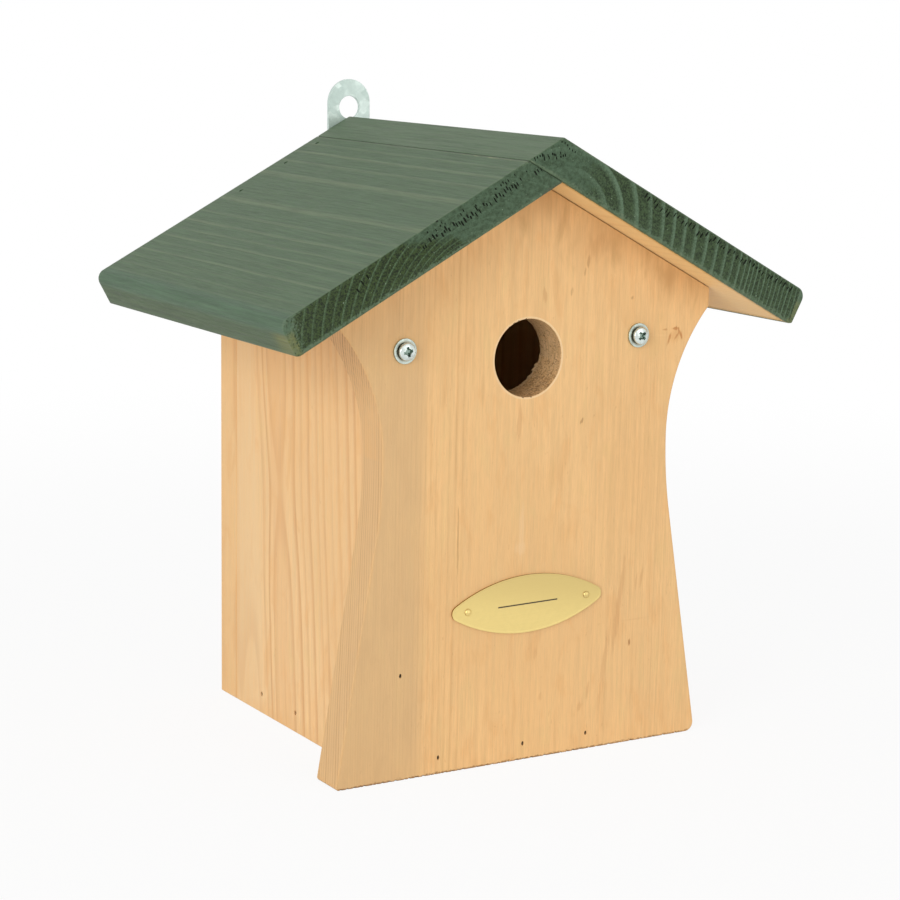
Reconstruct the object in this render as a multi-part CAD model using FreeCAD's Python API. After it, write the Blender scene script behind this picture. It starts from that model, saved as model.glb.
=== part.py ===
"""Wooden birdhouse with a waisted front board that lifts off, and a pitched roof of two painted boards.

Units are millimetres. +Z is up, +Y points to the back of the house and +X to the right of someone
who faces the entrance hole. The origin lies on the surface the house stands on, under the middle of
its overall box.
"""

import FreeCAD
import Part

import math
import os

# Driving dimensions: the nest box.
inner_width = 96.0
inner_depth = 119.5
box_offset = -2.7            # the box sits a little left of the roof's ridge, as it was nailed up
wall_thickness = 16.0        # sides and back
floor_thickness = 16.0
drain_hole_diameter = 6.0
drain_hole_spread = (60.0, 40.0)           # left to right and front to back, centre to centre

# The front board.
front_thickness = 16.5
front_foot_half_width = 88.8
front_waist_half_width = 68.7
front_shoulder_half_width = 88.8
front_waist_height = 132.8
front_upper_radius = 82.0
front_lower_radius = 190.0
front_left_foot_rounding = 1.5
front_right_foot_rounding = 4.0
front_gable_gap = 0.3        # lets the front board slide out under the roof
entrance_diameter = 32.0
entrance_drop = 72.4         # centre of the hole, down from the roof's apex
entrance_offset = -1.5       # from the ridge line
fastener_shift = -0.8        # front screws and side pins, from the middles of the sides' edges

# The roof.
roof_pitch = 28.2            # degrees from level
roof_apex_height = 242.3     # where the two undersides meet
roof_thickness = 15.5
roof_slope_length = 133.1    # along the underside, apex to lower corner
roof_front_overhang = 20.4
roof_rear_overhang = 4.5
roof_eave_rounding = 4.2
roof_eave_flat = 1.6         # lower corner planed level, measured along the underside

# Nails and locating pins.
nail_diameter = 1.6
nail_length = 35.0
nail_point = 2.0
point_diameter = 0.4         # nails' and screws' points are blunt
nail_set = 0.5               # heads are punched this far below the wood
nail_clearance = 0.05        # radial, nail to its own hole
pin_clearance = 0.08         # radial, front pins to the holes that they slide out of
hole_end_room = 0.5
pit_diameter = 2.2           # the dent around a punched nail
nail_mouth = 1.0             # how far a hole's cutter stands out of the wood
side_nail_height = 8.8
side_nail_places = (29.0, 61.6, 94.2)      # back from the floor's front edge
back_nail_height = 6.5
back_nail_pitch = 34.0
floor_pin_height = 7.0
floor_pin_places = (-41.2, -0.2, 31.5)
side_pin_height = 44.0
roof_nail_steps = (18.3, 34.0)             # out from the box's middle; a third is over each side
roof_nail_inset = 4.5        # in from the back board's rear face

# Front screws and washers.
screw_drop = 30.3            # down from the left side's outer top corner
screw_diameter = 4.0
screw_length = 30.0
screw_point = 4.0
screw_head_diameter = 8.0
screw_head_height = 2.8
screw_head_rim = 1.0         # upright part of the head, below its dome
screw_pilot_clearance = 0.05
screw_front_clearance = 0.4
washer_diameter = 10.2
washer_thickness = 1.0
washer_clearance = 0.2
recess_span = 4.8
recess_arm = 1.1
recess_depth = 1.6
recess_room = 0.5            # cutter above the head's crown
left_recess_turn = 7.0
right_recess_turn = 42.0

# The plate.
plate_length = 73.0
plate_height = 24.4
plate_thickness = 0.8
plate_end_rounding = 3.2
plate_place = (0.5, 67.4)
plate_tilt = 0.9
plate_pin_spread = 58.0
plate_pin_diameter = 1.6
plate_pin_length = 10.0
plate_pin_head_diameter = 3.0
plate_pin_head_height = 0.9
plate_pin_head_rim = 0.15

# The hanging bracket, cranked to clear the roof's rear overhang.
bracket_width = 21.2
bracket_thickness = 1.5
bracket_rise = 16.6          # above the ridge
hanging_hole_diameter = 10.2
hanging_hole_drop = 12.6     # from the bracket's top end
bracket_centre = 0.0
bracket_roof_gap = 1.0       # from the crank's top up to the roof
bracket_crank_height = 6.0
bracket_screw_drops = (8.0, 20.0)          # down from the crank
bracket_screw_diameter = 3.5
bracket_screw_length = 14.0
bracket_screw_point = 3.0
bracket_screw_head_diameter = 7.0
bracket_screw_head_height = 2.2
bracket_screw_head_rim = 0.8
bracket_screw_clearance = 0.3
bracket_recess_span = 4.2
bracket_recess_turns = (20.0, 65.0)

# Places that follow from the values above.
pitch = math.radians(roof_pitch)
rise = math.sin(pitch)
run = math.cos(pitch)
box_half_width = inner_width / 2 + wall_thickness
inner_left = box_offset - inner_width / 2
inner_right = box_offset + inner_width / 2
outer_left = box_offset - box_half_width
outer_right = box_offset + box_half_width
side_centres = {"left": inner_left - wall_thickness / 2, "right": inner_right + wall_thickness / 2}
fastener_places = {side: centre + fastener_shift for side, centre in side_centres.items()}
rear_stand_off = bracket_thickness + max(roof_rear_overhang, bracket_screw_head_height)
overall_depth = roof_front_overhang + front_thickness + inner_depth + wall_thickness + rear_stand_off
roof_front = -overall_depth / 2
front_face = roof_front + roof_front_overhang
inner_front = front_face + front_thickness
inner_back = inner_front + inner_depth
rear_face = inner_back + wall_thickness
roof_rear = rear_face + roof_rear_overhang
floor_middle = inner_front + inner_depth / 2
ridge_height = roof_apex_height + roof_thickness / run
bracket_top_height = ridge_height + bracket_rise
hanging_hole_height = bracket_top_height - hanging_hole_drop
entrance_height = roof_apex_height - entrance_drop
screw_height = roof_apex_height - abs(outer_left) * math.tan(pitch) - screw_drop

TO_BACK = FreeCAD.Vector(0, 1, 0)
TO_FRONT = FreeCAD.Vector(0, -1, 0)
TO_RIGHT = FreeCAD.Vector(1, 0, 0)
TO_LEFT = FreeCAD.Vector(-1, 0, 0)
UP = FreeCAD.Vector(0, 0, 1)
DOWN = FreeCAD.Vector(0, 0, -1)


def point(x, y, z):
    return FreeCAD.Vector(x, y, z)


def under_roof(x):
    """Height of the roof's underside above the ground, x from the ridge."""
    return roof_apex_height - abs(x) * math.tan(pitch)


def board_across(outline, y_start, y_end):
    """A board whose outline is given as (x, z) corners and whose thickness or length runs along Y."""
    corners = [point(x, y_start, z) for x, z in outline]
    wire = Part.makePolygon(corners + corners[:1])
    return Part.Face(wire).extrude(TO_BACK * (y_end - y_start))


def cylinder(start, direction, diameter, length):
    return Part.makeCylinder(diameter / 2, length, start, direction)


def edges_at(shape, x, z):
    """Edges that run along Y at the place x, z."""
    found = []
    for edge in shape.Edges:
        ends = [vertex.Point for vertex in edge.Vertexes]
        if all(abs(p.x - x) < 0.01 and abs(p.z - z) < 0.01 for p in ends):
            found.append(edge)
    return found


# Nails.
def nail(start, direction):
    """A headless nail, set below the surface at start."""
    shank_length = nail_length - nail_point
    head = start + direction * nail_set
    shank = cylinder(head, direction, nail_diameter, shank_length)
    tip_start = head + direction * shank_length
    tip = Part.makeCone(nail_diameter / 2, point_diameter / 2, nail_point, tip_start, direction)
    return shank.fuse(tip).removeSplitter()


def nail_hole(start, direction, clearance=nail_clearance):
    """The hole and dent that a nail leaves, a little longer than the nail."""
    mouth = start - direction * nail_mouth
    length = nail_mouth + nail_set + nail_length + hole_end_room
    bore = cylinder(mouth, direction, nail_diameter + 2 * clearance, length)
    dent = cylinder(mouth, direction, pit_diameter, nail_mouth + nail_set)
    return bore.fuse(dent)


def drilled(board, tools):
    for tool in tools:
        board = board.cut(tool)
    return board


def side_floor_nail_spots(side):
    """Starts and direction of the nails that go through one side into the floor's edge."""
    x, direction = (outer_left, TO_RIGHT) if side == "left" else (outer_right, TO_LEFT)
    return [(point(x, inner_front + place, side_nail_height), direction) for place in side_nail_places]


def back_floor_nail_spots():
    places = [box_offset + step * back_nail_pitch for step in (-1, 0, 1)]
    return [(point(x, rear_face, back_nail_height), TO_FRONT) for x in places]


def back_side_nail_spots(side):
    heights = (side_pin_height, (side_pin_height + screw_height) / 2, screw_height)
    return [(point(side_centres[side], rear_face, z), TO_FRONT) for z in heights]


def roof_nail_spots(side):
    """Plumb nails through a roof board into the back board's gable."""
    outward = -1 if side == "left" else 1
    reaches = roof_nail_steps + (inner_width / 2 + wall_thickness / 2,)
    places = [box_offset + outward * reach for reach in reaches]
    y = rear_face - roof_nail_inset
    return [(point(x, y, ridge_height - abs(x) * math.tan(pitch)), DOWN) for x in places]


def floor_pin_spots():
    return [(point(x, front_face, floor_pin_height), TO_BACK) for x in floor_pin_places]


def side_pin_spots():
    return [(point(x, front_face, side_pin_height), TO_BACK) for x in fastener_places.values()]


def nails_at(spots):
    return [nail(start, direction) for start, direction in spots]


def holes_at(spots, clearance=nail_clearance):
    return [nail_hole(start, direction, clearance) for start, direction in spots]


# Screws and washers.
def domed_head(seat, outward, diameter, height, rim):
    """A round head, flat underneath, with an upright rim and a spherical dome."""
    radius = diameter / 2
    dome_height = height - rim
    dome_radius = (radius ** 2 + dome_height ** 2) / (2 * dome_height)
    dome = Part.makeSphere(dome_radius, seat + outward * (height - dome_radius))
    return cylinder(seat, outward, diameter, height).common(dome)


def cross_recess(apex, outward, span, turn):
    """The cross-shaped driver recess, cut inwards from the head's apex."""
    depth = recess_depth + recess_room
    well = Part.makeCone(recess_arm / 2, span / 3, depth, point(0, 0, -recess_depth))
    arms = []
    for quarter in (0, 90):
        arm = Part.makeBox(span, recess_arm, depth, point(-span / 2, -recess_arm / 2, -recess_depth))
        arm.rotate(point(0, 0, 0), UP, quarter + turn)
        arms.append(arm)
    cutter = well.fuse(arms)
    cutter.Placement = FreeCAD.Placement(apex, FreeCAD.Rotation(UP, outward))
    return cutter


def pan_screw(seat, inward, diameter, length, tip, head, span, turn):
    """A pan-head screw; seat is the centre of the face under its head. The thread is its crest cylinder."""
    outward = inward * -1
    shank = cylinder(seat, inward, diameter, length - tip)
    cone = Part.makeCone(diameter / 2, point_diameter / 2, tip, seat + inward * (length - tip), inward)
    body = domed_head(seat, outward, *head).fuse([shank, cone]).removeSplitter()
    head_height = head[1]
    return body.cut(cross_recess(seat + outward * head_height, outward, span, turn))


def front_screw(side):
    turn = left_recess_turn if side == "left" else right_recess_turn
    seat = point(fastener_places[side], front_face - washer_thickness, screw_height)
    head = (screw_head_diameter, screw_head_height, screw_head_rim)
    return pan_screw(seat, TO_BACK, screw_diameter, screw_length, screw_point, head, recess_span, turn)


def front_washer(side):
    start = point(fastener_places[side], front_face, screw_height)
    disc = cylinder(start, TO_FRONT, washer_diameter, washer_thickness)
    bore = cylinder(start, TO_FRONT, screw_diameter + 2 * washer_clearance, washer_thickness)
    return disc.cut(bore)


def screw_holes(diameter):
    """Cutters on both screws' axes, from the front face to just past the screws' points."""
    length = screw_length - washer_thickness + hole_end_room
    starts = [point(x, front_face, screw_height) for x in fastener_places.values()]
    return [cylinder(start, TO_BACK, diameter, length) for start in starts]


# Boards of the box.
def floor_panel():
    size_x = inner_right - inner_left
    board = Part.makeBox(size_x, inner_depth, floor_thickness, point(inner_left, inner_front, 0))
    for side in (-1, 1):
        for end in (-1, 1):
            x = box_offset + side * drain_hole_spread[0] / 2
            y = floor_middle + end * drain_hole_spread[1] / 2
            board = board.cut(cylinder(point(x, y, 0), UP, drain_hole_diameter, floor_thickness))
    side_nails = side_floor_nail_spots("left") + side_floor_nail_spots("right")
    board = drilled(board, holes_at(side_nails + back_floor_nail_spots()))
    return drilled(board, holes_at(floor_pin_spots(), pin_clearance))


def side_panel(side):
    low, high = (outer_left, inner_left) if side == "left" else (inner_right, outer_right)
    outline = [(low, 0), (high, 0), (high, under_roof(high)), (low, under_roof(low))]
    board = board_across(outline, inner_front, inner_back)
    board = drilled(board, holes_at(side_floor_nail_spots(side) + back_side_nail_spots(side)))
    board = drilled(board, holes_at(side_pin_spots(), pin_clearance))
    return drilled(board, screw_holes(screw_diameter + 2 * screw_pilot_clearance))


def back_panel():
    outline = [
        (outer_left, 0),
        (outer_right, 0),
        (outer_right, under_roof(outer_right)),
        (0, roof_apex_height),
        (outer_left, under_roof(outer_left)),
    ]
    board = board_across(outline, inner_back, rear_face)
    spots = back_floor_nail_spots()
    for side in ("left", "right"):
        spots += back_side_nail_spots(side) + roof_nail_spots(side)
    board = drilled(board, holes_at(spots))
    return drilled(board, bracket_screw_holes())


# The front board.
def half_front_edges():
    """Right edge of the front board from the foot up: straight flare, two tangent arcs, an upright."""
    low_centre_x = front_waist_half_width + front_lower_radius
    foot_x = low_centre_x - front_foot_half_width
    foot_reach = math.hypot(foot_x, front_waist_height)
    touch = math.atan2(front_waist_height, foot_x) - math.acos(front_lower_radius / foot_reach)

    def low_arc(angle):
        x = low_centre_x - front_lower_radius * math.cos(angle)
        return x, front_waist_height - front_lower_radius * math.sin(angle)

    high_centre_x = front_waist_half_width + front_upper_radius
    shoulder = math.acos((high_centre_x - front_shoulder_half_width) / front_upper_radius)

    def high_arc(angle):
        x = high_centre_x - front_upper_radius * math.cos(angle)
        return x, front_waist_height + front_upper_radius * math.sin(angle)

    foot = (front_foot_half_width, 0)
    waist = (front_waist_half_width, front_waist_height)
    above_roof = ridge_height + front_upper_radius
    return [
        ("line", foot, low_arc(touch)),
        ("arc", low_arc(touch), low_arc(touch / 2), waist),
        ("arc", waist, high_arc(shoulder / 2), high_arc(shoulder)),
        ("line", high_arc(shoulder), (front_shoulder_half_width, above_roof)),
        ("line", (front_shoulder_half_width, above_roof), (0, above_roof)),
    ]


def front_outline():
    """Both edges of the front board, closed along the ground and well above the roof."""
    y = front_face
    edges = []
    for mirror in (1, -1):
        for kind, *places in half_front_edges():
            corners = [point(mirror * x, y, z) for x, z in places]
            edge = Part.Arc(*corners) if kind == "arc" else Part.LineSegment(*corners)
            edges.append(edge.toShape())
    foot = front_foot_half_width
    edges.append(Part.LineSegment(point(-foot, y, 0), point(foot, y, 0)).toShape())
    return Part.Wire(Part.__sortEdges__(edges))


def under_gable():
    """The space that the front board may fill: below the roof, less the sliding gap."""
    reach = roof_slope_length
    apex = roof_apex_height - front_gable_gap / run
    eave = apex - reach * math.tan(pitch)
    floor = min(eave, 0) - wall_thickness
    outline = [(-reach, floor), (reach, floor), (reach, eave), (0, apex), (-reach, eave)]
    return board_across(outline, front_face, inner_front)


def front_panel():
    board = Part.Face(front_outline()).extrude(TO_BACK * front_thickness)
    board = board.common(under_gable())
    board = board.makeFillet(front_left_foot_rounding, edges_at(board, -front_foot_half_width, 0))
    board = board.makeFillet(front_right_foot_rounding, edges_at(board, front_foot_half_width, 0))
    entrance = point(entrance_offset, front_face, entrance_height)
    board = board.cut(cylinder(entrance, TO_BACK, entrance_diameter, front_thickness))
    board = drilled(board, holes_at(floor_pin_spots() + side_pin_spots()))
    board = drilled(board, screw_holes(screw_diameter + 2 * screw_front_clearance))
    return drilled(board, plate_pin_holes())


# The plate.
def plate_pin_places():
    tilt = math.radians(plate_tilt)
    places = []
    for side in (-1, 1):
        reach = side * plate_pin_spread / 2
        places.append((plate_place[0] + reach * math.cos(tilt), plate_place[1] + reach * math.sin(tilt)))
    return places


def plate_pin_holes():
    deep = plate_pin_length + hole_end_room
    wide = plate_pin_diameter + 2 * nail_clearance
    return [cylinder(point(x, front_face, z), TO_BACK, wide, deep) for x, z in plate_pin_places()]


def name_plate():
    """A pointed oval of two equal arcs with rounded ends."""
    half_height = plate_height / 2
    # The arcs' radius puts the end roundings, tangent to both arcs, at the plate's full length.
    end_centre = plate_length / 2 - plate_end_rounding
    slack = half_height - plate_end_rounding
    radius = (end_centre ** 2 + slack ** 2) / (2 * slack) + plate_end_rounding
    drop = radius - half_height
    lean = math.atan2(end_centre, drop)
    touch_x = radius * math.sin(lean)
    touch_z = radius * math.cos(lean) - drop

    def at(x, z):
        return point(x, 0, z)

    edges = [
        Part.Arc(at(-touch_x, touch_z), at(0, half_height), at(touch_x, touch_z)),
        Part.Arc(at(touch_x, touch_z), at(plate_length / 2, 0), at(touch_x, -touch_z)),
        Part.Arc(at(touch_x, -touch_z), at(0, -half_height), at(-touch_x, -touch_z)),
        Part.Arc(at(-touch_x, -touch_z), at(-plate_length / 2, 0), at(-touch_x, touch_z)),
    ]
    plate = Part.Face(Part.Wire([edge.toShape() for edge in edges])).extrude(TO_FRONT * plate_thickness)
    for side in (-1, 1):
        wide = plate_pin_diameter + 2 * nail_clearance
        start = point(side * plate_pin_spread / 2, 0, 0)
        plate = plate.cut(cylinder(start, TO_FRONT, wide, plate_thickness))
    plate.rotate(point(0, 0, 0), TO_FRONT, plate_tilt)
    plate.translate(point(plate_place[0], front_face, plate_place[1]))
    return plate


def plate_pin(index):
    """A small round-headed pin that holds one end of the plate."""
    x, z = plate_pin_places()[index]
    seat = point(x, front_face - plate_thickness, z)
    head = domed_head(seat, TO_FRONT, plate_pin_head_diameter, plate_pin_head_height, plate_pin_head_rim)
    shank = cylinder(seat, TO_BACK, plate_pin_diameter, plate_thickness + plate_pin_length)
    return head.fuse(shank).removeSplitter()


# The roof.
def roof_board(side):
    """One roof board. The right one runs on past the ridge and is bevelled to the left one's slope."""
    outward = -1 if side == "left" else 1
    lap = roof_thickness / math.sin(2 * pitch)
    apex = (0, roof_apex_height)
    ridge = (0, ridge_height)
    seam = (-lap * run, roof_apex_height + lap * rise)
    corner = (outward * roof_slope_length * run, roof_apex_height - roof_slope_length * rise)
    flat_start = (corner[0] - outward * roof_eave_flat * run, corner[1] + roof_eave_flat * rise)
    flat_rise = roof_eave_flat * math.tan(pitch)
    flat_end = (corner[0] + outward * flat_rise * rise, corner[1] + flat_rise * run)
    eave_top = (corner[0] + outward * roof_thickness * rise, corner[1] + roof_thickness * run)
    eave = [flat_start, flat_end, eave_top]
    outline = [apex] + eave + ([seam] if side == "left" else [ridge, seam])
    board = board_across(outline, roof_front, roof_rear)
    board = board.makeFillet(roof_eave_rounding, edges_at(board, *eave_top))
    return drilled(board, holes_at(roof_nail_spots("left") + roof_nail_spots("right")))


# The hanging bracket.
def crank_heights():
    """Lower and upper end of the crank; the upper end stays clear of the roof's underside."""
    reach = abs(bracket_centre) + bracket_width / 2
    top = under_roof(reach) - bracket_roof_gap
    return top - bracket_crank_height, top


def bracket_screw_heights():
    return [crank_heights()[0] - drop for drop in bracket_screw_drops]


def bracket_screw_holes():
    """Pilot holes in the back board for the bracket's screws."""
    deep = bracket_screw_length - bracket_thickness + hole_end_room
    wide = bracket_screw_diameter + 2 * nail_clearance
    starts = [point(bracket_centre, rear_face, z) for z in bracket_screw_heights()]
    return [cylinder(start, TO_FRONT, wide, deep) for start in starts]


def bracket_face():
    """The strip's outline seen from behind: two straight edges and two round ends."""
    radius = bracket_width / 2
    high = bracket_top_height - radius
    low = bracket_screw_heights()[-1]

    def at(x, z):
        return point(bracket_centre + x, rear_face, z)

    edges = [
        Part.LineSegment(at(radius, low), at(radius, high)),
        Part.Arc(at(radius, high), at(0, bracket_top_height), at(-radius, high)),
        Part.LineSegment(at(-radius, high), at(-radius, low)),
        Part.Arc(at(-radius, low), at(0, low - radius), at(radius, low)),
    ]
    return Part.Face(Part.Wire([edge.toShape() for edge in edges]))


def hanging_bracket():
    """A strip cranked from the back board's face to the roof's end, with a hanging hole and screw holes."""
    crank_low, crank_high = crank_heights()
    bottom = bracket_screw_heights()[-1] - bracket_width
    bend = math.atan2(roof_rear_overhang, bracket_crank_height)
    # The rear bends sit lower than the front ones, so that the strip keeps its thickness in the crank.
    rear_drop = bracket_thickness * math.tan(bend / 2)
    near = [
        (rear_face, bottom),
        (rear_face, crank_low),
        (roof_rear, crank_high),
        (roof_rear, bracket_top_height),
    ]
    far = [
        (roof_rear + bracket_thickness, bracket_top_height),
        (roof_rear + bracket_thickness, crank_high - rear_drop),
        (rear_face + bracket_thickness, crank_low - rear_drop),
        (rear_face + bracket_thickness, bottom),
    ]
    left = bracket_centre - bracket_width / 2
    corners = [point(left, y, z) for y, z in near + far]
    strip = Part.Face(Part.makePolygon(corners + corners[:1])).extrude(TO_RIGHT * bracket_width)
    strip = strip.common(bracket_face().extrude(TO_BACK * rear_stand_off))
    wide = bracket_screw_diameter + 2 * bracket_screw_clearance
    holes = [(z, wide) for z in bracket_screw_heights()] + [(hanging_hole_height, hanging_hole_diameter)]
    for z, diameter in holes:
        start = point(bracket_centre, rear_face, z)
        strip = strip.cut(cylinder(start, TO_BACK, diameter, rear_stand_off))
    return strip


def bracket_screw(index):
    seat = point(bracket_centre, rear_face + bracket_thickness, bracket_screw_heights()[index])
    head = (bracket_screw_head_diameter, bracket_screw_head_height, bracket_screw_head_rim)
    return pan_screw(
        seat, TO_FRONT, bracket_screw_diameter, bracket_screw_length, bracket_screw_point,
        head, bracket_recess_span, bracket_recess_turns[index],
    )


nodes = {
    "floor_panel": floor_panel(),
    "back_panel": back_panel(),
    "left_side_panel": side_panel("left"),
    "right_side_panel": side_panel("right"),
    "front_panel": front_panel(),
    "left_roof_board": roof_board("left"),
    "right_roof_board": roof_board("right"),
    "hanging_bracket": hanging_bracket(),
    "upper_bracket_screw": bracket_screw(0),
    "lower_bracket_screw": bracket_screw(1),
    "left_front_screw": front_screw("left"),
    "right_front_screw": front_screw("right"),
    "left_front_washer": front_washer("left"),
    "right_front_washer": front_washer("right"),
    "name_plate": name_plate(),
    "left_plate_pin": plate_pin(0),
    "right_plate_pin": plate_pin(1),
    "front_floor_pins": Part.makeCompound(nails_at(floor_pin_spots())),
    "left_front_side_pin": nails_at(side_pin_spots())[0],
    "right_front_side_pin": nails_at(side_pin_spots())[1],
    "left_floor_nails": Part.makeCompound(nails_at(side_floor_nail_spots("left"))),
    "right_floor_nails": Part.makeCompound(nails_at(side_floor_nail_spots("right"))),
    "back_floor_nails": Part.makeCompound(nails_at(back_floor_nail_spots())),
    "left_back_nails": Part.makeCompound(nails_at(back_side_nail_spots("left"))),
    "right_back_nails": Part.makeCompound(nails_at(back_side_nail_spots("right"))),
    "left_roof_nails": Part.makeCompound(nails_at(roof_nail_spots("left"))),
    "right_roof_nails": Part.makeCompound(nails_at(roof_nail_spots("right"))),
}

os.makedirs("parts", exist_ok=True)
for name, shape in nodes.items():
    box = shape.BoundBox
    spans = f"x {box.XMin:.1f}..{box.XMax:.1f} y {box.YMin:.1f}..{box.YMax:.1f} z {box.ZMin:.1f}..{box.ZMax:.1f}"
    print(f"{name}: {len(shape.Solids)} solid(s), {shape.Volume:.0f} mm3, valid {shape.isValid()}, {spans}")
    shape.exportStep(f"parts/{name}.step")
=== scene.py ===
# %% [markdown]
# # A wooden birdhouse, finished in Blender
#
# The house is a box of plain pine boards under a pitched roof of two green boards. Its wide front
# board has waisted edges and a round entrance, and lifts off when two screws are out. The frame
# that this script loads already has every piece in its place, in metres. This lesson models the
# pieces that show again, with soft edges, drilled holes and threads, and then gives them their wood,
# paint and metal. The frame comes first, because every size is read from it.

# %% Load the frame and measure it
import math
import random

import bmesh
import bpy
from mathutils import Matrix, Vector


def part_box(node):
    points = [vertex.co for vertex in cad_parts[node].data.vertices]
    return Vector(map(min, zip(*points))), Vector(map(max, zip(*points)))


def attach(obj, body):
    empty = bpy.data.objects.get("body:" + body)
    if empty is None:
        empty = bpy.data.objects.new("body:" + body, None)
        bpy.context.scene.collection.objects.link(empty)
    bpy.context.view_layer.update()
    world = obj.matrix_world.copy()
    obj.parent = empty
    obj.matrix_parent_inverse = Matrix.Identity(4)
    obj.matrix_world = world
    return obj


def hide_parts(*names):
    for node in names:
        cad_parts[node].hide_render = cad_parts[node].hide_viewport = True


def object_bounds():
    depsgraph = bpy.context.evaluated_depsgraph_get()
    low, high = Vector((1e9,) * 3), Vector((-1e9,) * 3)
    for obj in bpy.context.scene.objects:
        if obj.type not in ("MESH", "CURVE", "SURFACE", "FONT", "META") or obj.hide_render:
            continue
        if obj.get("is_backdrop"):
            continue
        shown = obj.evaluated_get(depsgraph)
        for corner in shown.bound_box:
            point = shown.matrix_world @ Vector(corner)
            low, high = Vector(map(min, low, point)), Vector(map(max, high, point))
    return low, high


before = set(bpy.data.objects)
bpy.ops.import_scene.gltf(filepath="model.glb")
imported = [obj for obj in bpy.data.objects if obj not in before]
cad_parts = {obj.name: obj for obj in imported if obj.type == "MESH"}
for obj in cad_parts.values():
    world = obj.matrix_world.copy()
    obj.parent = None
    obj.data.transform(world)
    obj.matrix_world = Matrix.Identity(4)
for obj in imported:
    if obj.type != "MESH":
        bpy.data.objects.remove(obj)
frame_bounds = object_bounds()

MM = 0.001
LEFT, RIGHT = Vector((-1, 0, 0)), Vector((1, 0, 0))
FRONT, BACK = Vector((0, -1, 0)), Vector((0, 1, 0))
DOWN, UP = Vector((0, 0, -1)), Vector((0, 0, 1))


def low_high(node):
    """Lowest and highest corner of a node, as vectors in metres."""
    low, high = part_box(node)
    return Vector(low), Vector(high)


def on_axis(node, y):
    """The place at depth y on the axis of a node that points to the front or the back."""
    low, high = low_high(node)
    return Vector(((low.x + high.x) / 2, y, (low.z + high.z) / 2))


apex = Vector((0, 0, low_high("back_panel")[1].z))          # where the roof's undersides meet
rear_face = low_high("back_panel")[1].y
front_face, inner_face = (corner.y for corner in low_high("front_panel"))
print("nodes", len(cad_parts), "apex height", round(apex.z / MM, 1), "mm")

# %% [markdown]
# ## Working by operators
#
# Everything is made the way a hand makes it: add a primitive, go into edit mode, select a few faces
# or edges, and use an operator on them. A script can't click, so pick selects by place and
# direction. Whatever is selected gets changed, so each piece starts with nothing selected.

# %% Helpers for selecting and editing
WELD = 1e-6     # corners closer than this are one corner


def take(*pieces):
    """Makes the pieces the only selected ones, and the first of them the active object."""
    bpy.ops.object.select_all(action="DESELECT")
    for piece in pieces:
        piece.select_set(True)
    bpy.context.view_layer.objects.active = pieces[0]


def edit(piece):
    """Opens piece in edit mode with nothing selected."""
    take(piece)
    bpy.ops.object.mode_set(mode="EDIT")
    bpy.ops.mesh.select_all(action="DESELECT")


def close():
    bpy.ops.object.mode_set(mode="OBJECT")


def pick_all():
    bpy.ops.mesh.select_all(action="SELECT")


def pick(kind, test):
    """Selects the faces, edges or verts of the open piece that pass the test."""
    mesh = bmesh.from_edit_mesh(bpy.context.object.data)
    bpy.ops.mesh.select_all(action="DESELECT")
    bpy.ops.mesh.select_mode(type={"faces": "FACE", "edges": "EDGE", "verts": "VERT"}[kind])
    for part in getattr(mesh, kind):
        part.select_set(bool(test(part)))
    mesh.select_flush_mode()
    bmesh.update_edit_mesh(bpy.context.object.data)


def middle(edge):
    return (edge.verts[0].co + edge.verts[1].co) / 2


def runs(edge, direction):
    """True if an edge runs along a direction."""
    return abs((edge.verts[1].co - edge.verts[0].co).normalized().dot(direction)) > 0.999


def bevel(radius, segments):
    """Rounds the selected edges of the open piece."""
    bpy.ops.mesh.bevel(offset=radius, segments=segments, affect="EDGES")


def extrude(direction=(0, 0, 0)):
    """Extrudes what is selected in the open piece, and moves the new part."""
    bpy.ops.mesh.extrude_region_move(TRANSFORM_OT_translate={"value": direction})


def face_outward():
    pick_all()
    bpy.ops.mesh.normals_make_consistent(inside=False)


# %% [markdown]
# ## Blocks, rods, saws and cutters
#
# A piece begins as a block or a rod. Sawing is a bisect that fills the cut, and a hole is a boolean
# with a rod. The place, turn and scale of every new piece are moved into its mesh, so that the
# finished object stands at the origin, unturned, as the frame's own nodes do.

# %% Make, saw and cut
def finish_modifier(piece, kind, **settings):
    """Adds a modifier, sets it and applies it."""
    take(piece)
    modifier = piece.modifiers.new(kind.lower(), kind)
    for name, value in settings.items():
        setattr(modifier, name, value)
    bpy.ops.object.modifier_apply(modifier=modifier.name)


def fix_place(*pieces):
    """Moves the pieces' location, turn and scale into their meshes."""
    take(*pieces)
    bpy.ops.object.transform_apply(location=True, rotation=True, scale=True)


def block(name, low, high):
    """A box from its lowest to its highest corner."""
    bpy.ops.mesh.primitive_cube_add(size=1, location=(low + high) / 2)
    piece = bpy.context.object
    piece.name, piece.scale = name, high - low
    fix_place(piece)
    return piece


def rod(name, start, direction, diameter, length, sides=48):
    """A round bar from start along a direction."""
    bpy.ops.mesh.primitive_cylinder_add(
        vertices=sides, radius=diameter / 2, depth=length, location=start + direction * length / 2,
        rotation=direction.to_track_quat("Z", "Y").to_euler())
    piece = bpy.context.object
    piece.name = name
    fix_place(piece)
    return piece


def saw(piece, place, away):
    """Saws a piece through at a plane and throws away the side that the direction points to."""
    edit(piece)
    pick_all()
    bpy.ops.mesh.bisect(plane_co=place, plane_no=away, use_fill=True, clear_outer=True)
    close()


def merge(*pieces):
    """Joins pieces into the first of them."""
    take(*pieces)
    if len(pieces) > 1:
        bpy.ops.object.join()


def combine(piece, tool, operation, **settings):
    """Adds a tool's shape to a piece, or takes it out, with a boolean. The tool goes."""
    finish_modifier(piece, "BOOLEAN", object=tool, operation=operation, solver="EXACT", **settings)
    bpy.data.objects.remove(tool)


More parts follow.
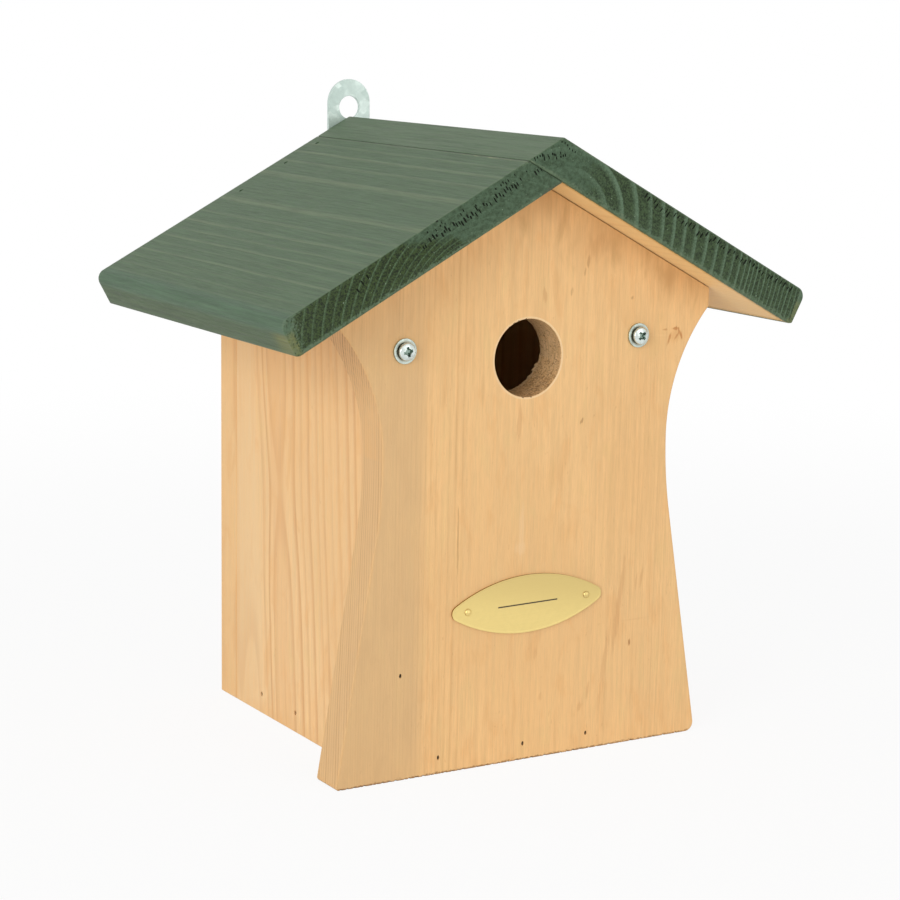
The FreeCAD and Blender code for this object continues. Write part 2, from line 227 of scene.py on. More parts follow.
def cut(piece, cutters, overlap=False):
    """Takes the cutters' shapes out of a piece; overlap says that they run into each other."""
    merge(*cutters)
    combine(piece, cutters[0], "DIFFERENCE", use_self=overlap)


def placed_copies(seed, places):
    """A copy of seed at each (place, size, turn). The seed goes."""
    copies = []
    for place, size, turn in places:
        copy = seed.copy()
        copy.data = seed.data.copy()
        bpy.context.collection.objects.link(copy)
        copy.location, copy.scale, copy.rotation_euler = place, size, turn
        copies.append(copy)
    bpy.data.objects.remove(seed)
    bpy.context.view_layer.update()
    fix_place(*copies)
    return copies


def settle(piece, body, slot, *nodes):
    """Puts a finished piece on its body, in place of its nodes."""
    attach(piece, body)
    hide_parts(*nodes)
    print(piece.name, "on", body, "with", len(piece.data.polygons), "faces")


# %% [markdown]
# ## Soft arrises
#
# No board has knife edges: planing, sanding and handling take half a millimetre off each corner.
# Beveling the sharp edges makes that. The flat faces then get a narrow inset border, and an
# attribute called arris is 1 on the bevel and fades to 0 across the border, so that a finish can
# be thinner or paler along the edges. Weighted normals keep the flat faces flat when shaded.

# %% Soften the arrises of a board
def soften(piece, radius, border=1.4 * MM):
    """Bevels the sharp edges and marks them with the arris attribute."""
    edit(piece)
    bpy.ops.mesh.select_mode(type="EDGE")
    bpy.ops.mesh.edges_select_sharp(sharpness=math.radians(25))
    bevel(radius, 3)
    new = {face.index for face in bmesh.from_edit_mesh(piece.data).faces if face.select}
    pick("faces", lambda face: face.index not in new and face.calc_area() > (6 * MM) ** 2)
    bpy.ops.mesh.inset(thickness=border, use_even_offset=True, use_individual=False)
    close()
    mark = piece.data.attributes.new("arris", "FLOAT", "POINT")
    mesh = bmesh.new()
    mesh.from_mesh(piece.data)
    for vert in mesh.verts:
        normals = [face.normal for face in vert.link_faces]
        bend = max(normals[0].angle(normal, 0) for normal in normals)
        mark.data[vert.index].value = 1.0 if bend > 0.2 else 0.0
    mesh.free()


def smooth(piece, angle=35):
    """Welds the corners that a boolean left on one spot, and shades round faces smoothly."""
    edit(piece)
    pick_all()
    bpy.ops.mesh.remove_doubles(threshold=WELD)
    close()
    bpy.ops.object.shade_smooth_by_angle(angle=math.radians(angle))
    finish_modifier(piece, "WEIGHTED_NORMAL", keep_sharp=True)


# %% [markdown]
# ## Where the nails are
#
# A node may hold several identical nails. Each nail is an island of its node's mesh, and its head
# is the end that lies furthest out, against the way it was driven. So the nails tell the boards
# where to be drilled, and nothing has to be measured twice.

# %% Read the nails from their nodes
def islands(node):
    """The corners of each separate solid of a node."""
    mesh = bmesh.new()
    mesh.from_mesh(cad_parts[node].data)
    bmesh.ops.remove_doubles(mesh, verts=mesh.verts, dist=WELD)
    waiting = set(mesh.verts)
    found = []
    while waiting:
        fresh = [waiting.pop()]
        island = list(fresh)
        while fresh:
            vert = fresh.pop()
            for edge in vert.link_edges:
                other = edge.other_vert(vert)
                if other in waiting:
                    waiting.remove(other)
                    fresh.append(other)
                    island.append(other)
        found.append([vert.co.copy() for vert in island])
    mesh.free()
    return sorted(found, key=lambda corners: [round(c, 5) for c in sum(corners, Vector()) / len(corners)])


def nails_in(inward, *node_names):
    """(middle of the head, direction) of each nail of the nodes, which are driven inward."""
    found = []
    for corners in sum(map(islands, node_names), []):
        outermost = min(corner.dot(inward) for corner in corners)
        head = [corner for corner in corners if corner.dot(inward) < outermost + 0.01 * MM]
        found.append((sum(head, Vector()) / len(head), inward))
    return found


nails = {
    "floor_pins": nails_in(BACK, "front_floor_pins"),
    "side_pins": nails_in(BACK, "left_front_side_pin", "right_front_side_pin"),
    "left_floor": nails_in(RIGHT, "left_floor_nails"),
    "right_floor": nails_in(LEFT, "right_floor_nails"),
    "back_floor": nails_in(FRONT, "back_floor_nails"),
    "back_sides": nails_in(FRONT, "left_back_nails", "right_back_nails"),
    "roof": nails_in(DOWN, "left_roof_nails", "right_roof_nails"),
}
for name, found in nails.items():
    print(name, len(found))

# %% [markdown]
# ## Drilling
#
# A punched nail leaves a shallow dent round its head and a bore under it. The drill bit is one
# stepped cylinder: the end of a rod is extruded and widened in edit mode. It is modelled once and
# copied to every nail, each copy with its own mesh, and one boolean drills a whole board.

# %% The stepped drill and the drilling
MOUTH = 3 * MM              # how far a bit's collar stands out of the wood
NAIL_DEPTH = 35.5 * MM
FIT = 1.7 * MM              # the bore of a 1.6 mm nail
TIGHT_DENT, SLIT = (1.2, 1.9), (0.3, 3.0)       # dents in millimetres, across and along the grain


def drill_bit(bore, depth, dent=None, sides=20):
    """A bit that points along +Z: a bore from 0 to depth, and a collar of size dent above it."""
    bit = rod("bit", Vector((0, 0, 0)), UP, bore, depth, sides)
    if dent:
        edit(bit)
        pick("faces", lambda face: face.normal.z < -0.9)
        extrude()
        bpy.ops.transform.resize(value=(dent[0] * MM / bore, dent[1] * MM / bore, 1))
        extrude((0, 0, -MOUTH))
        close()
    return bit


def nail_bit(bore=FIT, dent=(1.9, 2.1)):
    return drill_bit(bore, NAIL_DEPTH, dent)


def drill(piece, spots, bit):
    """Drills a piece at every (start, direction), with copies of one bit."""
    places = [(start, (1, 1, 1), direction.to_track_quat("Z", "Y").to_euler()) for start, direction in spots]
    cut(piece, placed_copies(bit, places))


def screw_spots(*sides):
    """(start, direction) of each front screw at the front face."""
    return [(on_axis(side + "_front_washer", front_face), BACK) for side in sides]


# %% [markdown]
# ## Pits and tears
#
# A saw tears little bits out of soft wood: along the lower arris of a board, round the far side of
# a bored hole, and between the rings of a sawn end. Each is a lumpy pit, taken out with a boolean.
# One pit is modelled and copied. A face attribute is 1 inside the pits, so that a finish can paint
# them darker with painted shade over the torn wood.

# %% The pit and the tearing
def mark_faces(piece, value):
    mark = piece.data.attributes.new("torn", "FLOAT", "FACE")
    mark.data.foreach_set("value", [value] * len(piece.data.polygons))


def lumpy_pit():
    bpy.ops.mesh.primitive_ico_sphere_add(subdivisions=1, radius=0.5, location=(0, 0, 0))
    pit = bpy.context.object
    edit(pit)
    pick_all()
    bpy.ops.transform.vertex_random(offset=0.12, uniform=0.1, normal=0.0, seed=4)
    close()
    mark_faces(pit, 1.0)
    return pit


def tear(piece, pits):
    """Takes a lumpy pit out of a piece at every (place, size, turn), and marks the pits' faces for painted
    shade.
    """
    mark_faces(piece, 0.0)
    cut(piece, placed_copies(lumpy_pit(), pits), overlap=True)
    torn = sum(item.value > 0.5 for item in piece.data.attributes["torn"].data)
    print(piece.name, "torn at", len(pits), "places,", torn, "torn faces")


# %% [markdown]
# ## The boards of the box
#
# Floor, sides and back are sawn from the same 16 mm board. Each starts as a block of its node's
# size, and the tops of the sides and the back are sawn to the roof's slope with the bisect
# operator, as a saw would. Then the arrises are softened and the holes drilled.

# %% The box's own sizes
PITCH = math.radians(28.2)          # the roof's slope
SQUARE_TO = {"left": Vector((-math.sin(PITCH), 0, math.cos(PITCH))),        # out of each slope
             "right": Vector((math.sin(PITCH), 0, math.cos(PITCH)))}
BOARD_ARRIS = 0.5 * MM
PIN_FIT = 1.76 * MM         # the floor and the sides grip the front's pins less tightly
SCREW_FIT, SCREW_DEPTH = 4.1 * MM, 29.5 * MM
DRAIN = 6 * MM              # diameter of the floor's drain holes
SPARE = 20 * MM             # what is sawn off, or drilled through, beyond a board

# %% Floor
floor = block("floor_board", *low_high("floor_panel"))
soften(floor, BOARD_ARRIS)
floor_low, floor_high = low_high("floor_panel")
drains = []
for x in (-30, 30):
    for y in (-20, 20):
        start = (floor_low + floor_high) / 2 + Vector((x, y, 0)) * MM
        start.z = floor_low.z - MM
        drains.append(rod("drain", start, UP, DRAIN, SPARE, 32))
cut(floor, drains)
drill(floor, nails["left_floor"] + nails["right_floor"] + nails["back_floor"], nail_bit())
drill(floor, nails["floor_pins"], nail_bit(PIN_FIT))
smooth(floor)

# %% Sides
sides = {}
for side, slope in SQUARE_TO.items():
    low, high = low_high(side + "_side_panel")
    panel = block(side + "_side_board", low, high + UP * SPARE)
    saw(panel, apex, slope)
    soften(panel, BOARD_ARRIS)
    pin = [spot for spot in nails["side_pins"] if low.x < spot[0].x < high.x]
    rear = [spot for spot in nails["back_sides"] if low.x < spot[0].x < high.x]
    drill(panel, nails[side + "_floor"] + rear, nail_bit())
    drill(panel, pin, nail_bit(PIN_FIT))
    drill(panel, screw_spots(side), drill_bit(SCREW_FIT, SCREW_DEPTH))
    smooth(panel)
    sides[side] = panel

# %% Back
back = block("back_board", *low_high("back_panel"))
for slope in SQUARE_TO.values():
    saw(back, apex, slope)
soften(back, BOARD_ARRIS)
strip_screws = [(on_axis(place + "_bracket_screw", rear_face), FRONT) for place in ("upper", "lower")]
drill(back, nails["back_floor"] + nails["back_sides"] + nails["roof"], nail_bit())
drill(back, strip_screws, drill_bit(3.6 * MM, 13 * MM))
smooth(back)

settle(floor, "house", "box_pine", "floor_panel")
settle(sides["left"], "house", "box_pine", "left_side_panel")
settle(sides["right"], "house", "box_pine", "right_side_panel")
settle(back, "house", "box_pine", "back_panel")

# %% [markdown]
# ## The front board
#
# The front is one wide board. Each edge is hollowed by two tangent curves, a tight one above the
# waist and a flat one below it, and ends in a straight flare at the foot. One corner of a plane is
# kept and drawn along that edge: extruded up the flare, spun round the centre of each curve, and
# extruded to the gable. Symmetrize adds the other half, and the filled outline is extruded to the
# board's thickness. The foot's corners are beveled round last.

# %% Sizes of the front and drawing with a corner
WAIST_X, WAIST_Z = 68.7 * MM, 132.8 * MM
HIGH_RADIUS, LOW_RADIUS = 82 * MM, 190 * MM     # of the edge's curves above and below the waist
FOOT = 88.8 * MM                                # half of the board's width at its foot
GABLE_GAP = 0.3 * MM
FOOT_CORNERS = {-1: 1.8 * MM, 1: 4.7 * MM}      # how far each foot corner's rounding goes, left and right


def one_corner(name, place):
    """A plane with three of its corners deleted: one selected corner, ready to draw with."""
    bpy.ops.mesh.primitive_plane_add(size=2 * MM, location=(0, 0, 0))
    piece = bpy.context.object
    piece.name = name
    edit(piece)
    pick("verts", lambda vert: vert.co.x + vert.co.y < MM)
    bpy.ops.mesh.delete(type="VERT")
    pick_all()
    bpy.ops.transform.translate(value=Vector(place) - Vector((MM, MM, 0)))
    return piece


def draw_to(x, z, y=0.0):
    """Extrudes the selected corner to a place."""
    mesh = bmesh.from_edit_mesh(bpy.context.object.data)
    here = next(vert.co.copy() for vert in mesh.verts if vert.select)
    extrude(Vector((x, y, z)) - here)


def swing(steps, angle, x, z, y=0.0):
    """Draws the selected corner round a centre, along an arc in an upright plane."""
    bpy.ops.mesh.spin(steps=steps, angle=angle, center=(x, y, z), axis=(0, -1, 0))


def fill_outline(thickness, *directions):
    """Mirrors the open outline to each direction, fills it and makes it thick."""
    for direction in directions:
        pick_all()
        bpy.ops.mesh.symmetrize(direction=direction)
    pick_all()
    bpy.ops.mesh.edge_face_add()
    extrude((0, thickness, 0))
    face_outward()


# %% The waisted outline
low_centre, high_centre = WAIST_X + LOW_RADIUS, WAIST_X + HIGH_RADIUS
foot_to_centre = math.hypot(low_centre - FOOT, WAIST_Z)
low_turn = math.atan2(WAIST_Z, low_centre - FOOT) - math.acos(LOW_RADIUS / foot_to_centre)
high_turn = math.acos((high_centre - FOOT) / HIGH_RADIUS)
gable_top = apex.z - GABLE_GAP / math.cos(PITCH)

front = one_corner("front_board", (FOOT, front_face, 0))
draw_to(low_centre - LOW_RADIUS * math.cos(low_turn), WAIST_Z - LOW_RADIUS * math.sin(low_turn), front_face)
swing(14, low_turn, low_centre, WAIST_Z, front_face)
swing(36, high_turn, high_centre, WAIST_Z, front_face)
draw_to(FOOT, gable_top - FOOT * math.tan(PITCH), front_face)
draw_to(0, gable_top, front_face)
fill_outline(inner_face - front_face, "POSITIVE_X")
for way, rounding in FOOT_CORNERS.items():
    pick("edges", lambda edge: runs(edge, BACK) and middle(edge).z < MM and way * middle(edge).x > FOOT - MM)
    bevel(rounding, 8)
close()
print("front board", [round(size / MM, 1) for size in front.dimensions], len(front.data.vertices), "corners")

# %% [markdown]
# ## The entrance and the front's holes
#
# A hole saw cuts the entrance, so a round bar is taken out of the board, and then its arrises are
# softened with the others. The wood has closed a little over the front's pins, so their dents are
# smaller than those of the other nails, and the right side pin's is only a slit.

# %% Bore the entrance, and drill for pins and screws
ENTRANCE = Vector((-1.5 * MM, front_face, apex.z - 72.4 * MM))
ENTRANCE_DIAMETER = 32 * MM
cut(front, [rod("hole_saw", ENTRANCE - BACK * MM, BACK, ENTRANCE_DIAMETER, SPARE, 128)])
soften(front, 0.3 * MM, 1.0 * MM)

plate_pins = [(on_axis(side + "_plate_pin", front_face), BACK) for side in ("left", "right")]
left_side_pin, right_side_pin = nails["side_pins"]
drill(front, nails["floor_pins"] + [left_side_pin], nail_bit(dent=TIGHT_DENT))
drill(front, [right_side_pin], nail_bit(dent=SLIT))
drill(front, screw_spots("left", "right"), drill_bit(4.8 * MM, SCREW_DEPTH))
drill(front, plate_pins, drill_bit(FIT, 10.5 * MM))

# %% [markdown]
# ## Tears in the front
#
# The saw has pulled bits out of the foot's arris, more on the left, and the hole saw has torn the
# upper half of the entrance's far rim. On the rim's lower right the fibres have stayed and stick
# out into the house: a thin ring is joined to the board there, and its far corners are drawn back
# by chance, angle by angle, which leaves a ragged fringe.

# %% Tears along the foot and round the entrance
uniform = random.uniform
random.seed(11)


def rim_place(y, angle):
    """A place just outside the entrance's wall; angles go anticlockwise from the right."""
    place = Vector((math.cos(angle), 0, math.sin(angle))) * (ENTRANCE_DIAMETER / 2 + 0.1 * MM)
    return Vector((ENTRANCE.x, y, ENTRANCE.z)) + place


front_tears = []
along = -FOOT + 2.5 * MM
while along < FOOT - 6 * MM:
    long, tall = uniform(0.9, 2.6) * MM, uniform(0.7, 1.5) * MM
    place = Vector((along, front_face + 0.1 * MM, 0.1 * MM))
    front_tears.append((place, (long, 1.4 * MM, tall), (0, 0, random.random())))
    along += long + uniform(0.4, 2.4) * MM * (1 if along < -30 * MM else 2)
for number in range(22):
    angle = math.radians(-2 + 118 * number / 21 + uniform(-2, 2))
    place = rim_place(inner_face - uniform(0.0, 0.4) * MM, angle)
    size = (uniform(1.6, 2.6) * MM, uniform(0.8, 1.8) * MM, uniform(1.2, 3.0) * MM)
    front_tears.append((place, size, (0, -angle, 0)))
for degrees, wide in ((116, 1.6), (108, 1.0), (126, 0.9), (95, 0.7), (-98, 1.4), (-84, 0.9)):
    angle = math.radians(degrees)
    front_tears.append((rim_place(front_face, angle), (0.9 * MM, 0.8 * MM, wide * MM), (0, -angle, 0)))
tear(front, front_tears)
smooth(front)


def torn_fringe(longest, first, last):
    """Fibres left standing on the entrance's inner rim, between two angles in degrees."""
    root = 2 * MM
    start = Vector((ENTRANCE.x, inner_face - root, ENTRANCE.z))
    fringe = rod("fringe", start, BACK, ENTRANCE_DIAMETER + 0.7 * MM, root + longest, 160)
    cut(fringe, [rod("core", start - BACK * MM, BACK, ENTRANCE_DIAMETER + 0.1 * MM, 8 * MM, 160)])
    for angle, way in ((first, -1), (last, 1)):
        turn = math.radians(angle)
        saw(fringe, ENTRANCE, Vector((-math.sin(turn), 0, math.cos(turn))) * way)
    shorter = {}
    for vert in fringe.data.vertices:
        sector = round(math.degrees(math.atan2(vert.co.z - ENTRANCE.z, vert.co.x - ENTRANCE.x)) / 2.25)
        shorter.setdefault(sector, uniform(0.0, 0.75) ** 1.5 * longest)
        if vert.co.y > inner_face + longest / 2:
            vert.co.y -= min(shorter[sector], longest * 0.9)
    smooth(fringe)
    merge(front, fringe)


torn_fringe(2.2 * MM, -84, -19)
settle(front, "front", "front_pine", "front_panel")

# %% [markdown]
# ## The roof boards
#
# Both roof boards have the same section, so one function makes them. The board starts as a level
# block from the ridge out. Its lower corner is planed level with a bisect and its upper eave corner
# is rounded with a bevel. Then it is turned to the pitch, and the ridge end is sawn: the left board
# to the plane of the right one's underside, the right board to the left one's top.

# %% Model a roof board
ROOF_THICKNESS = 15.5 * MM
SLOPE_LENGTH = 133.1 * MM
EAVE_ROUNDING = 4.2 * MM
EAVE_FLAT = 1.6 * MM
ROOF_ARRIS = 0.6 * MM
OUTWARD = {"left": -1, "right": 1}
ridge = apex + UP * ROOF_THICKNESS / math.cos(PITCH)


def upper_eave(edge):
    """True for the edge where a level roof board's top meets its outer end."""
    place = middle(edge)
    return runs(edge, BACK) and place.x > SLOPE_LENGTH - MM and place.z > ROOF_THICKNESS - MM


def roof_board(side, ridge_place, ridge_side):
    """A roof board, with its ridge end sawn at a place to the slope of ridge_side."""
    low, high = low_high(side + "_roof_board")
    outer_corner = Vector((SLOPE_LENGTH, high.y, ROOF_THICKNESS))
    board = block(side + "_roof", Vector((-2 * SPARE, low.y, 0)), outer_corner)
    saw(board, Vector((SLOPE_LENGTH - EAVE_FLAT, 0, 0)), Vector((math.sin(PITCH), 0, -math.cos(PITCH))))
    edit(board)
    pick("edges", upper_eave)
    bevel(EAVE_ROUNDING, 8)
    if side == "left":
        pick_all()
        bpy.ops.transform.resize(value=(-1, 1, 1), center_override=(0, 0, 0))
        face_outward()
    close()
    board.rotation_euler = (0, OUTWARD[side] * PITCH, 0)
    board.location = apex
    fix_place(board)
    saw(board, ridge_place, SQUARE_TO[ridge_side])
    soften(board, ROOF_ARRIS)
    drill(board, [spot for spot in nails["roof"] if low.x < spot[0].x < high.x], nail_bit())
    return board


# %% [markdown]
# ## Torn ends of the roof boards
#
# The softest wood between two rings tears in a row, all along a sawn end. So each front end gets
# rows of pits, laid out along the slope and up from the underside, with chance in their places.

# %% Tear the roof boards' ends
PIT_DEPTH = 1.3
random.seed(23)
# Reach along the slope, height above the underside, width, height and lean in degrees of each pit.
end_pits = {"left": [], "right": []}
reach = -2.0
while reach < 78:
    dense = 0.9 if 38 < reach < 66 or reach < 30 else 0.4
    level = 9.9 + uniform(-1.1, 1.1) + 0.05 * max(0, 16 - reach)
    if random.random() < dense:
        end_pits["left"].append((reach, level, uniform(0.6, 1.1), uniform(1.6, 3.4), -12))
    if random.random() < dense - 0.5:
        end_pits["left"].append((reach + 0.6, level + 2.9, uniform(0.4, 0.8), uniform(1.0, 2.0), -12))
    reach += uniform(0.9, 1.7)
end_pits["left"] += [(93, 12, 0.9, 2.6, -14), (96, 11, 0.8, 3.0, -14), (99, 9.5, 0.9, 2.4, -14),
                     (57, 15.5, 1.6, 1.4, 0)]
for step in range(38):
    reach = 38 + step * 2.35 + uniform(-0.8, 0.8)
    end_pits["right"].append((reach, 12.6 + uniform(-1.0, 1.0), uniform(0.6, 1.1), uniform(1.6, 3.8), 10))
for step in range(16):
    reach, level = -16.5 + step * 0.8, 2.0 + step * 0.52 + uniform(-1.2, 1.2)
    end_pits["right"].append((reach, level, uniform(0.5, 0.9), uniform(1.2, 2.6), -50))
for step in range(6):
    reach, level = -8.5 + step * 1.5, 13.2 + uniform(-0.6, 0.6)
    end_pits["right"].append((reach, level, 0.6, uniform(0.9, 1.8), -30))


def end_pit(side, end, reach, height, wide, tall, lean):
    """(place, size, turn) of a pit in a roof board's front end."""
    slope = Vector((OUTWARD[side] * math.cos(PITCH), 0, -math.sin(PITCH)))
    place = apex + slope * reach * MM + SQUARE_TO[side] * height * MM
    place.y = end
    return place, Vector((wide, PIT_DEPTH, tall)) * MM, (0, OUTWARD[side] * PITCH + math.radians(lean), 0)


roofs = {"left": roof_board("left", apex, "right"), "right": roof_board("right", ridge, "left")}
for side, board in roofs.items():
    front_end = low_high(side + "_roof_board")[0].y
    tear(board, [end_pit(side, front_end, *pit) for pit in end_pits[side]])
    smooth(board)
    settle(board, "house", "green_roof", side + "_roof_board")

# %% [markdown]
# ## Screws with real heads and threads
#
# Four pan-head screws hold the front and the hanging strip. A head is turned, so half of its
# outline is drawn from the axis out and up to the crown, and spun round the axis. The driver's
# cross is two tapered bars and a well, taken out with a boolean.

# %% Heads
def domed_cap(name, diameter, height, rim, neck=None, rings=48):
    """A domed head on z = 0 that points along +Z; neck is the (width, height) of a narrower foot."""
    radius, dome = diameter / 2, height - rim
    ball = (radius ** 2 + dome ** 2) / (2 * dome)
    foot = neck[1] if neck else 0.0
    small, large = min(0.12 * MM, 0.3 * (rim - foot)), 0.7 * (rim - foot)       # roundings below and above
    rise = math.sqrt((ball - large) ** 2 - (radius - large) ** 2)
    lean = math.atan2(rise, radius - large)
    cap = one_corner(name, (0, 0, 0))
    if neck:
        draw_to(neck[0] / 2, 0)
        draw_to(neck[0] / 2, foot)
    draw_to(radius - small, foot)
    swing(2, -math.pi / 2, radius - small, foot + small)
    draw_to(radius, height - ball + rise)
    swing(4, -lean, radius - large, height - ball + rise)
    swing(16, lean - math.pi / 2, 0, height - ball)
    pick_all()
    bpy.ops.mesh.spin(steps=rings, angle=math.tau, center=(0, 0, 0), axis=(0, 0, 1))
    pick_all()
    bpy.ops.mesh.remove_doubles(threshold=WELD)
    face_outward()
    close()
    return cap


def driver_cross(span, arm, depth, top):
    """The cross that a driver fits, with its top at the head's crown."""
    room = 0.5 * MM
    bars = []
    for turn in (0, math.pi / 2):
        low = Vector((-span / 2, -arm / 2, top - depth))
        bar = block("bar", low, Vector((span / 2, arm / 2, top + room)))
        edit(bar)
        pick("faces", lambda face: face.normal.z < -0.9)
        bpy.ops.transform.resize(value=(0.55, 0.75, 1), center_override=(0, 0, top - depth))
        close()
        bar.rotation_euler.z = turn
        fix_place(bar)
        bars.append(bar)
    combine(bars[0], bars[1], "UNION")
    bpy.ops.mesh.primitive_cone_add(
        vertices=24, radius1=arm / 2, radius2=span * 0.36, depth=depth + room,
        location=(0, 0, top - (depth - room) / 2))
    well = bpy.context.object
    fix_place(well)
    combine(bars[0], well, "UNION")
    return bars[0]


# %% [markdown]
# ## Threads, and whole screws
#
# The thread is a rod with many rings of corners: each corner moves in or out with its height and
# its angle, which winds a helix of the real 1.4 mm pitch. Head and shank are made upright, joined,
# and then stood on the board, each screw's cross turned its own way.

# %% Threads and whole screws
THREAD_PITCH = 1.4 * MM
THREAD_DEPTH = 0.55 * MM
HEAD_SINK = 0.3 * MM        # how far a shank's rod reaches into its head
RINGS_A_TURN = 8
BLUNT = 0.1                 # width of a point's end, as a share of the shank's


def thread(length, tip, diameter, plain=2.5 * MM):
    """A threaded shank from z = 0 down to its point."""
    shank = rod("shank", DOWN * length, UP, diameter, length + HEAD_SINK, 24)
    edit(shank)
    pick("edges", lambda edge: runs(edge, UP))
    bpy.ops.mesh.subdivide(number_cuts=round(length / THREAD_PITCH * RINGS_A_TURN))
    close()
    for vert in shank.data.vertices:
        depth = -vert.co.z
        phase = (depth / THREAD_PITCH + math.atan2(vert.co.y, vert.co.x) / math.tau) % 1
        crest = max(0, 1 - abs(phase - 0.5) * 4)
        fade = min(1, max(0, (depth - plain) / THREAD_PITCH))
        taper = min(1, BLUNT + (1 - BLUNT) * max(0, length - depth) / tip)
        radius = (diameter / 2 - THREAD_DEPTH * fade * (1 - crest)) * taper
        flat = Vector((vert.co.x, vert.co.y, 0))
        if flat.length > WELD:
            vert.co.x, vert.co.y, _ = flat.normalized() * radius
    return shank


def stand(piece, place, outward, turn=0.0):
    """Turns a piece that points along +Z to a direction, spins it by turn degrees and sets it at a place."""
    upright = outward.to_track_quat("Z", "X").to_matrix()
    piece.rotation_euler = (upright @ Matrix.Rotation(math.radians(turn), 3, "Z")).to_euler()
    piece.location = place
    fix_place(piece)
    smooth(piece, 40)


def pan_screw(name, node, outward, length, tip, diameter, head, span, turn, neck=None):
    """A whole screw in its node's place; head is (diameter, height, rim)."""
    low, high = low_high(node)
    cap = domed_cap(name, *head, neck=neck)
    cross = driver_cross(span, 1.3 * MM, 1.5 * MM, head[1])
    mark_faces(cap, 0.0)
    # The cross's faces are marked so that the zinc gets painted shade in the recess.
    mark_faces(cross, 1.0)
    cut(cap, [cross])
    merge(cap, thread(length, tip, diameter))
    stand(cap, on_axis(node, low.y + head[1] if outward == FRONT else high.y - head[1]), outward, turn)
    return cap


front_head = (7.2 * MM, 2.8 * MM, 1.9 * MM)
for side, turn in (("left", 12), ("right", 42)):
    node = side + "_front_screw"
    screw = pan_screw(side + "_screw", node, FRONT, 30 * MM, 4 * MM, 4 * MM, front_head, 5.0 * MM, turn,
                      neck=(5.2 * MM, 0.9 * MM))
    settle(screw, side + "_screw", "zinc_screw", node)

strip_head = (7 * MM, 2.2 * MM, 0.8 * MM)
for place, turn in (("upper", 20), ("lower", 65)):
    node = place + "_bracket_screw"
    screw = pan_screw(place + "_strip_screw", node, BACK, 14 * MM, 3 * MM, 3.5 * MM, strip_head,
                      4.2 * MM, turn)
    settle(screw, "house", "zinc_screw", node)

# %% [markdown]
# ## Washers
#
# A flat washer is punched from sheet. A disc's two ends are inset to the bore and bridged, which
# opens the hole, and the edges are beveled.

# %% Model the washers
WASHER_BORE = 4.4 * MM
for side in ("left", "right"):
    node = side + "_front_washer"
    low, high = low_high(node)
    diameter = high.x - low.x
    washer = rod(side + "_washer_disc", on_axis(node, low.y), BACK, diameter, high.y - low.y, 64)
    edit(washer)
    pick("faces", lambda face: abs(face.normal.y) > 0.9)
    bpy.ops.mesh.inset(thickness=(diameter - WASHER_BORE) / 2)
    bpy.ops.mesh.bridge_edge_loops()
    pick("edges", lambda edge: not runs(edge, BACK) and edge.calc_face_angle(0) > 1)
    bevel(0.16 * MM, 3)
    close()
    smooth(washer, 40)
    settle(washer, side + "_washer", "zinc_washer", node)

# %% [markdown]
# ## The hanging strip
#
# The strip is galvanised steel, 1.5 mm thick, cranked back so that it clears the roof's end. A flat
# block is bisected at the two bends and its upper part is moved back. The corners are beveled by
# half the width, which makes the ends round, and the three holes are punched with a boolean.

# %% Model the hanging strip
STRIP = 1.5 * MM            # the strip's thickness
CRANK_HEIGHT = 6.0 * MM
PUNCH_LENGTH = 12 * MM
strip_low, strip_high = low_high("hanging_bracket")
half_width = (strip_high.x - strip_low.x) / 2
crank = strip_high.y - STRIP - rear_face
crank_top = apex.z - half_width * math.tan(PITCH) - 1.0 * MM
rear_drop = STRIP * math.tan(math.atan2(crank, CRANK_HEIGHT) / 2)
strip_high.y = rear_face + STRIP
strip_low.y = rear_face
strip = block("hanging_strip", strip_low, strip_high)
edit(strip)
pick("edges", lambda edge: runs(edge, BACK))
bevel(half_width - 0.01 * MM, 16)
for height in (crank_top - CRANK_HEIGHT, crank_top):
    pick_all()
    bpy.ops.mesh.bisect(plane_co=(0, rear_face, height), plane_no=Vector((0, rear_drop, STRIP)).normalized())
pick("verts", lambda vert: vert.co.z > crank_top - (vert.co.y - rear_face) / STRIP * rear_drop - 0.01 * MM)
bpy.ops.transform.translate(value=(0, crank, 0))
close()
hanging_hole = Vector((0, rear_face - MM, strip_high.z - 12.6 * MM))
punches = [rod("punch", hanging_hole, BACK, 10.2 * MM, PUNCH_LENGTH, 64)]
for start, _ in strip_screws:
    punches.append(rod("punch", start - BACK * MM, BACK, 4.1 * MM, PUNCH_LENGTH, 32))
cut(strip, punches)
edit(strip)
bpy.ops.mesh.select_mode(type="EDGE")
bpy.ops.mesh.edges_select_sharp(sharpness=math.radians(50))
bevel(0.18 * MM, 2)
close()
smooth(strip, 30)
settle(strip, "house", "galvanised_strip", "hanging_bracket")

# %% [markdown]
# ## The little plate
#
# The plate is a pointed oval of thin brass with rounded points. A quarter of its outline is drawn
# with two spins, as the front board's was, and symmetrize adds the rest. The face is then inset and
# pressed in a little, which leaves a fine raised rim. Two round-headed pins hold it.

# %% Model the plate and its pins
PLATE_TILT = math.radians(0.9)
PLATE_POINT = 3.2 * MM                          # radius of the rounded points
HALF_LENGTH, HALF_HEIGHT = 36.5 * MM, 12.2 * MM
PIN_HEAD = 0.9 * MM
plate_low, plate_high = low_high("name_plate")
plate_middle = (plate_low + plate_high) / 2
end_x, slack = HALF_LENGTH - PLATE_POINT, HALF_HEIGHT - PLATE_POINT
side_radius = (end_x ** 2 + slack ** 2) / (2 * slack) + PLATE_POINT
drop = side_radius - HALF_HEIGHT                # how far a long side's centre lies below the middle
lean = math.atan2(end_x, drop)
plate = one_corner("brass_plate", (0, 0, HALF_HEIGHT))
swing(40, lean, 0, -drop)
swing(8, math.pi / 2 - lean, end_x, 0)
fill_outline(plate_high.y - plate_low.y, "POSITIVE_X", "POSITIVE_Z")
pick("faces", lambda face: face.normal.y < -0.9)
